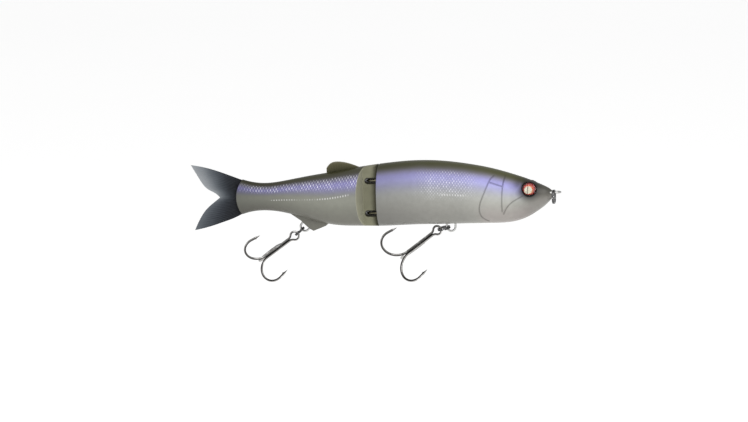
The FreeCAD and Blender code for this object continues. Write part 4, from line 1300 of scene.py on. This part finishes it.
# %% Fin patches
FIN_SHARP = math.radians(60)
def fin_patch(root, margin, first, last, rows, columns):
    """A Coons patch of (station, height) points between four edges, root to margin."""
    u = np.linspace(0, 1, rows)[:, None, None]
    v = np.linspace(0, 1, columns)[None, :, None]
    near, far = smooth_line(root, columns)[None], smooth_line(margin, columns)[None]
    one, two = smooth_line(first, rows)[:, None], smooth_line(last, rows)[:, None]
    corners = ((1 - u) * (1 - v) * near[:, :1] + (1 - u) * v * near[:, -1:]
               + u * (1 - v) * far[:, :1] + u * v * far[:, -1:])
    return (1 - u) * near + u * far + (1 - v) * one + v * two - corners


def fin_solid(name, patch, thick):
    """A closed plate: the patch on both sides, thick apart, joined round its edge."""
    rows, columns, _ = patch.shape
    points = [at(s, side * half, z) for side in (1, -1)
              for (s, z), half in zip(patch.reshape(-1, 2), thick.ravel())]
    faces = []
    shift = rows * columns
    for i in range(rows - 1):
        for j in range(columns - 1):
            a = i * columns + j
            faces.append((a, a + 1, a + columns + 1, a + columns))
            faces.append(tuple(shift + k for k in (a, a + columns, a + columns + 1, a + 1)))
    rim = list(range(columns))
    rim += [i * columns + columns - 1 for i in range(1, rows)]
    rim += [(rows - 1) * columns + j for j in reversed(range(columns - 1))]
    rim += [i * columns for i in reversed(range(1, rows - 1))]
    for a, b in zip(rim, rim[1:] + rim[:1]):
        faces.append((a, b, b + shift, a + shift))
    return solid(name, points, faces)


def fin_attribute(obj, ridges, last_lobe=1.0):
    """Writes (root to margin, side to side, ray height) on both faces. last_lobe is how far the
    colour fades on the side that comes last."""
    rows, columns = ridges.shape
    v = np.tile(np.linspace(0, 1, columns), rows)
    lower = np.clip((v - 0.40) / 0.20, 0, 1)
    u = np.repeat(np.linspace(0, 1, rows), columns) * (1 - (1 - last_lobe) * lower)
    write_vectors(obj, "fin", np.tile(np.stack([u, v, ridges.ravel()], 1), (2, 1)))


def soft_plastic(name, stops, ray_colour, rough):
    """Soft plastic that changes colour from root to margin, with paler rays."""
    material, tree, shader = finish_of(name, Roughness=rough, Specular_IOR_Level=0.08)
    reach, across, ray = stored(tree, "fin")
    cloud = times(tree, less(tree, noise(tree, 130.0, 4.0), 0.5), 0.16)
    colour = ramp(tree, plus(tree, reach, cloud), stops)
    colour = over(tree, colour, ray, 0.12, srgb(*ray_colour))
    fibre_at = node(tree, "ShaderNodeCombineXYZ", {0: times(tree, reach, 6.0),
                                                   1: times(tree, across, 160.0)})
    fibre = noise(tree, 1.0, 3.0, fibre_at.outputs[0])
    colour = over(tree, colour, band(tree, fibre, 0.45, 0.8), 0.14, srgb(*ray_colour))
    rough = scaled(tree, noise(tree, 500.0, 3.0), 0.2, rough - 0.1)
    feed(tree, shader, Base_Color=colour, Roughness=rough)
    bump(tree, shader, fibre, 0.3, 0.05 * MM)
    return material


# %% Tail fin
TAIL_ROWS, TAIL_RAYS, RAY_STEPS, LOWER_FADE = 56, 30, 6, 0.66
upper_tip, lower_tip, notch = (179.2, 13.4), (177.7, -18.7), (164.9, -2.5)
tail_root = [(float(tail_arc(z)) - 0.25, float(z)) for z in np.linspace(6.0, -10.6, 9)]
tail_top = [tail_root[0], (157.0, 7.2), (164.2, 9.8), (172.0, 12.1), upper_tip]
tail_foot = [tail_root[-1], (157.0, -12.2), (163.0, -14.5), (170.6, -17.0), lower_tip]
columns = TAIL_RAYS * RAY_STEPS + 1
upper_margin, lower_margin = (smooth_line(line, columns // 2 + 1) for line in (
    [upper_tip, (175.5, 7.3), (170.9, 1.5), (167.1, -0.6), notch],
    [notch, (167.2, -4.4), (171.1, -7.7), (174.9, -12.9), lower_tip]))
margin = np.vstack([upper_margin, lower_margin[1:]])
patch = fin_patch(tail_root, margin, tail_top, tail_foot, TAIL_ROWS, columns)
patch[-1] = margin
u = np.linspace(0, 1, TAIL_ROWS)[:, None]
v = np.linspace(0, 1, columns)[None, :]
ridges = np.cos(v * TAIL_RAYS * 2 * math.pi) * 0.5 + 0.5
ridges = ridges ** 1.6 * np.clip(u * 6, 0, 1) * np.clip((1.02 - u) * 5, 0, 1)
edge_thin = np.clip(np.minimum(v, 1 - v) * 16, 0.25, 1) ** 0.5
thick = (0.16 + 0.60 * (1 - u) ** 1.3) * edge_thin + 0.10 * ridges
tail = fin_solid("tail_fin_soft", patch, thick)
fin_attribute(tail, ridges, LOWER_FADE)
tail_plastic = soft_plastic("tail_soft_plastic", [
    (0.0, 8, 8, 11), (0.20, 13, 14, 18), (0.45, 44, 48, 54), (0.72, 92, 97, 102),
    (1.0, 146, 149, 152)], (110, 116, 124), 0.5)
settle(tail, "rear_section", ["tail_fin"], tail_plastic, FIN_SHARP)

# %% Back fin
FIN_ROWS, FIN_RAYS = 30, 14
fin_root = [(94.6, 12.1), (100.0, 10.6), (106.0, 9.4), (111.3, 8.2)]
fin_front = [(94.6, 12.1), (95.1, 12.35), (95.4, 12.5)]
fin_rear = [(111.3, 8.2), (111.5, 9.6), (111.6, 12.0)]
fin_margin = [(95.4, 12.5), (100.6, 14.3), (105.6, 15.1), (109.6, 14.3), (111.6, 12.0)]
columns = FIN_RAYS * RAY_STEPS + 1
patch = fin_patch(fin_root, fin_margin, fin_front, fin_rear, FIN_ROWS, columns)
u = np.linspace(0, 1, FIN_ROWS)[:, None]
v = np.linspace(0, 1, columns)[None, :]
ridges = (np.cos(v * FIN_RAYS * 2 * math.pi) * 0.5 + 0.5) ** 1.5 * np.clip(u * 3 - 0.6, 0, 1)
ridges = ridges * np.clip((0.98 - u) * 8, 0, 1)
lip = np.exp(-((u - 0.95) / 0.05) ** 2) * 0.10 * np.clip(v * 2.4 - 0.7, 0, 1)
thick = (0.34 + 0.62 * (1 - u) ** 1.1) * np.clip(v * 12 + 0.35, 0, 1) + 0.05 * ridges + lip
back_fin = fin_solid("back_fin_soft", patch, thick)
fin_attribute(back_fin, ridges)
fin_plastic = soft_plastic("back_fin_soft_plastic", [
    (0.0, 30, 29, 18), (0.3, 56, 55, 38), (0.75, 74, 72, 52), (0.93, 86, 83, 64),
    (1.0, 128, 126, 112)], (100, 98, 76), 0.45)
settle(back_fin, "rear_section", ["dorsal_fin"], fin_plastic, FIN_SHARP)

# %% [markdown]
# ## What stays from the frame
# The pin and the ballast keep the frame's own shape. They are hidden in the body, and they get
# their real finish all the same, for anyone who takes the bait apart.

# %% Pin and ballast
kept = {"hinge_pin": bright_wire}
cast = spotted("cast_ballast", (400.0, 6.0, 0.3, 0.7), (96, 96, 98), (138, 138, 140),
               (900.0, 5.0, 0.5, 0.08), Metallic=0.8, Roughness=0.6)[0]
kept |= {node_name: cast for node_name in ("ballast_fore", "ballast_aft", "ballast_rear")}
for node_name, material in kept.items():
    for place in frame["nodes"][node_name].material_slots:
        place.material = material
print("kept from the frame:", list(kept))

# %% [markdown]
# ## Studio
# The bait lies over a light table: white all round, one broad soft light over the head, and weak
# fill. The table is far enough below for no hard shadow to show.

# %% Floor, lights and camera
FLOOR_BELOW, FLOOR_HALF = 160, 6000
WORLD_LIGHT = 0.60
AIM, KEY_PLACE, KEY_SIZE, KEY_WATTS = Vector((-0.085, 0, 0)), (0.05, -0.80, 1.00), (1.8, 1.2), 14.0
AZIMUTH, ELEVATION, ROLL = math.radians(10), math.radians(6), math.radians(-1.05)
LENS, SENSOR, VIEW_WIDTH, CLIP_END = 600.0, 36.0, 0.3647, 20.0
TIE_PLACE = (0.0890, 0.00917)

corners = [(-1, -1), (1, -1), (1, 1), (-1, 1)]
table = mesh_object("table_top", [(x * FLOOR_HALF, y * FLOOR_HALF, -FLOOR_BELOW)
                                  for x, y in corners], [(0, 1, 2, 3)])
table.data.materials.append(spotted(
    "pale_table", (3.0, 2.0), (253, 253, 253), (255, 255, 255), Roughness=0.9,
    Specular_IOR_Level=0.1, Emission_Color=(1, 1, 1, 1), Emission_Strength=0.35)[0])

world = bpy.data.worlds.new("light_tent")
bpy.context.scene.world = world
world.use_nodes = True
world.node_tree.nodes["Background"].inputs["Color"].default_value = (1, 1, 1, 1)
world.node_tree.nodes["Background"].inputs["Strength"].default_value = WORLD_LIGHT

light = bpy.data.lights.new("broad_key", "AREA")
light.shape = "RECTANGLE"
light.size, light.size_y = KEY_SIZE
light.energy = KEY_WATTS
key = add_object("broad_key", light)
key.location = KEY_PLACE
key.rotation_euler = (AIM - Vector(KEY_PLACE)).to_track_quat("-Z", "Y").to_euler()

ahead = Vector((-math.sin(AZIMUTH) * math.cos(ELEVATION), math.cos(AZIMUTH) * math.cos(ELEVATION),
                -math.sin(ELEVATION)))
right = Vector((math.cos(AZIMUTH), math.sin(AZIMUTH), 0))
above = right.cross(ahead)
right, above = (right * math.cos(ROLL) + above * math.sin(ROLL),
                above * math.cos(ROLL) - right * math.sin(ROLL))
camera_data = bpy.data.cameras.new("camera")
camera_data.lens = LENS
camera_data.sensor_width = SENSOR
camera_data.clip_end = CLIP_END
camera = add_object("camera", camera_data)
away = VIEW_WIDTH * LENS / SENSOR
target = -right * TIE_PLACE[0] - above * TIE_PLACE[1]
camera.matrix_world = Matrix.Translation(target - ahead * away) @ Matrix(
    (right, above, -ahead)).transposed().to_4x4()
bpy.context.scene.camera = camera
bpy.context.scene.view_settings.view_transform = "Standard"
print("camera is", round(away, 3), "m away")
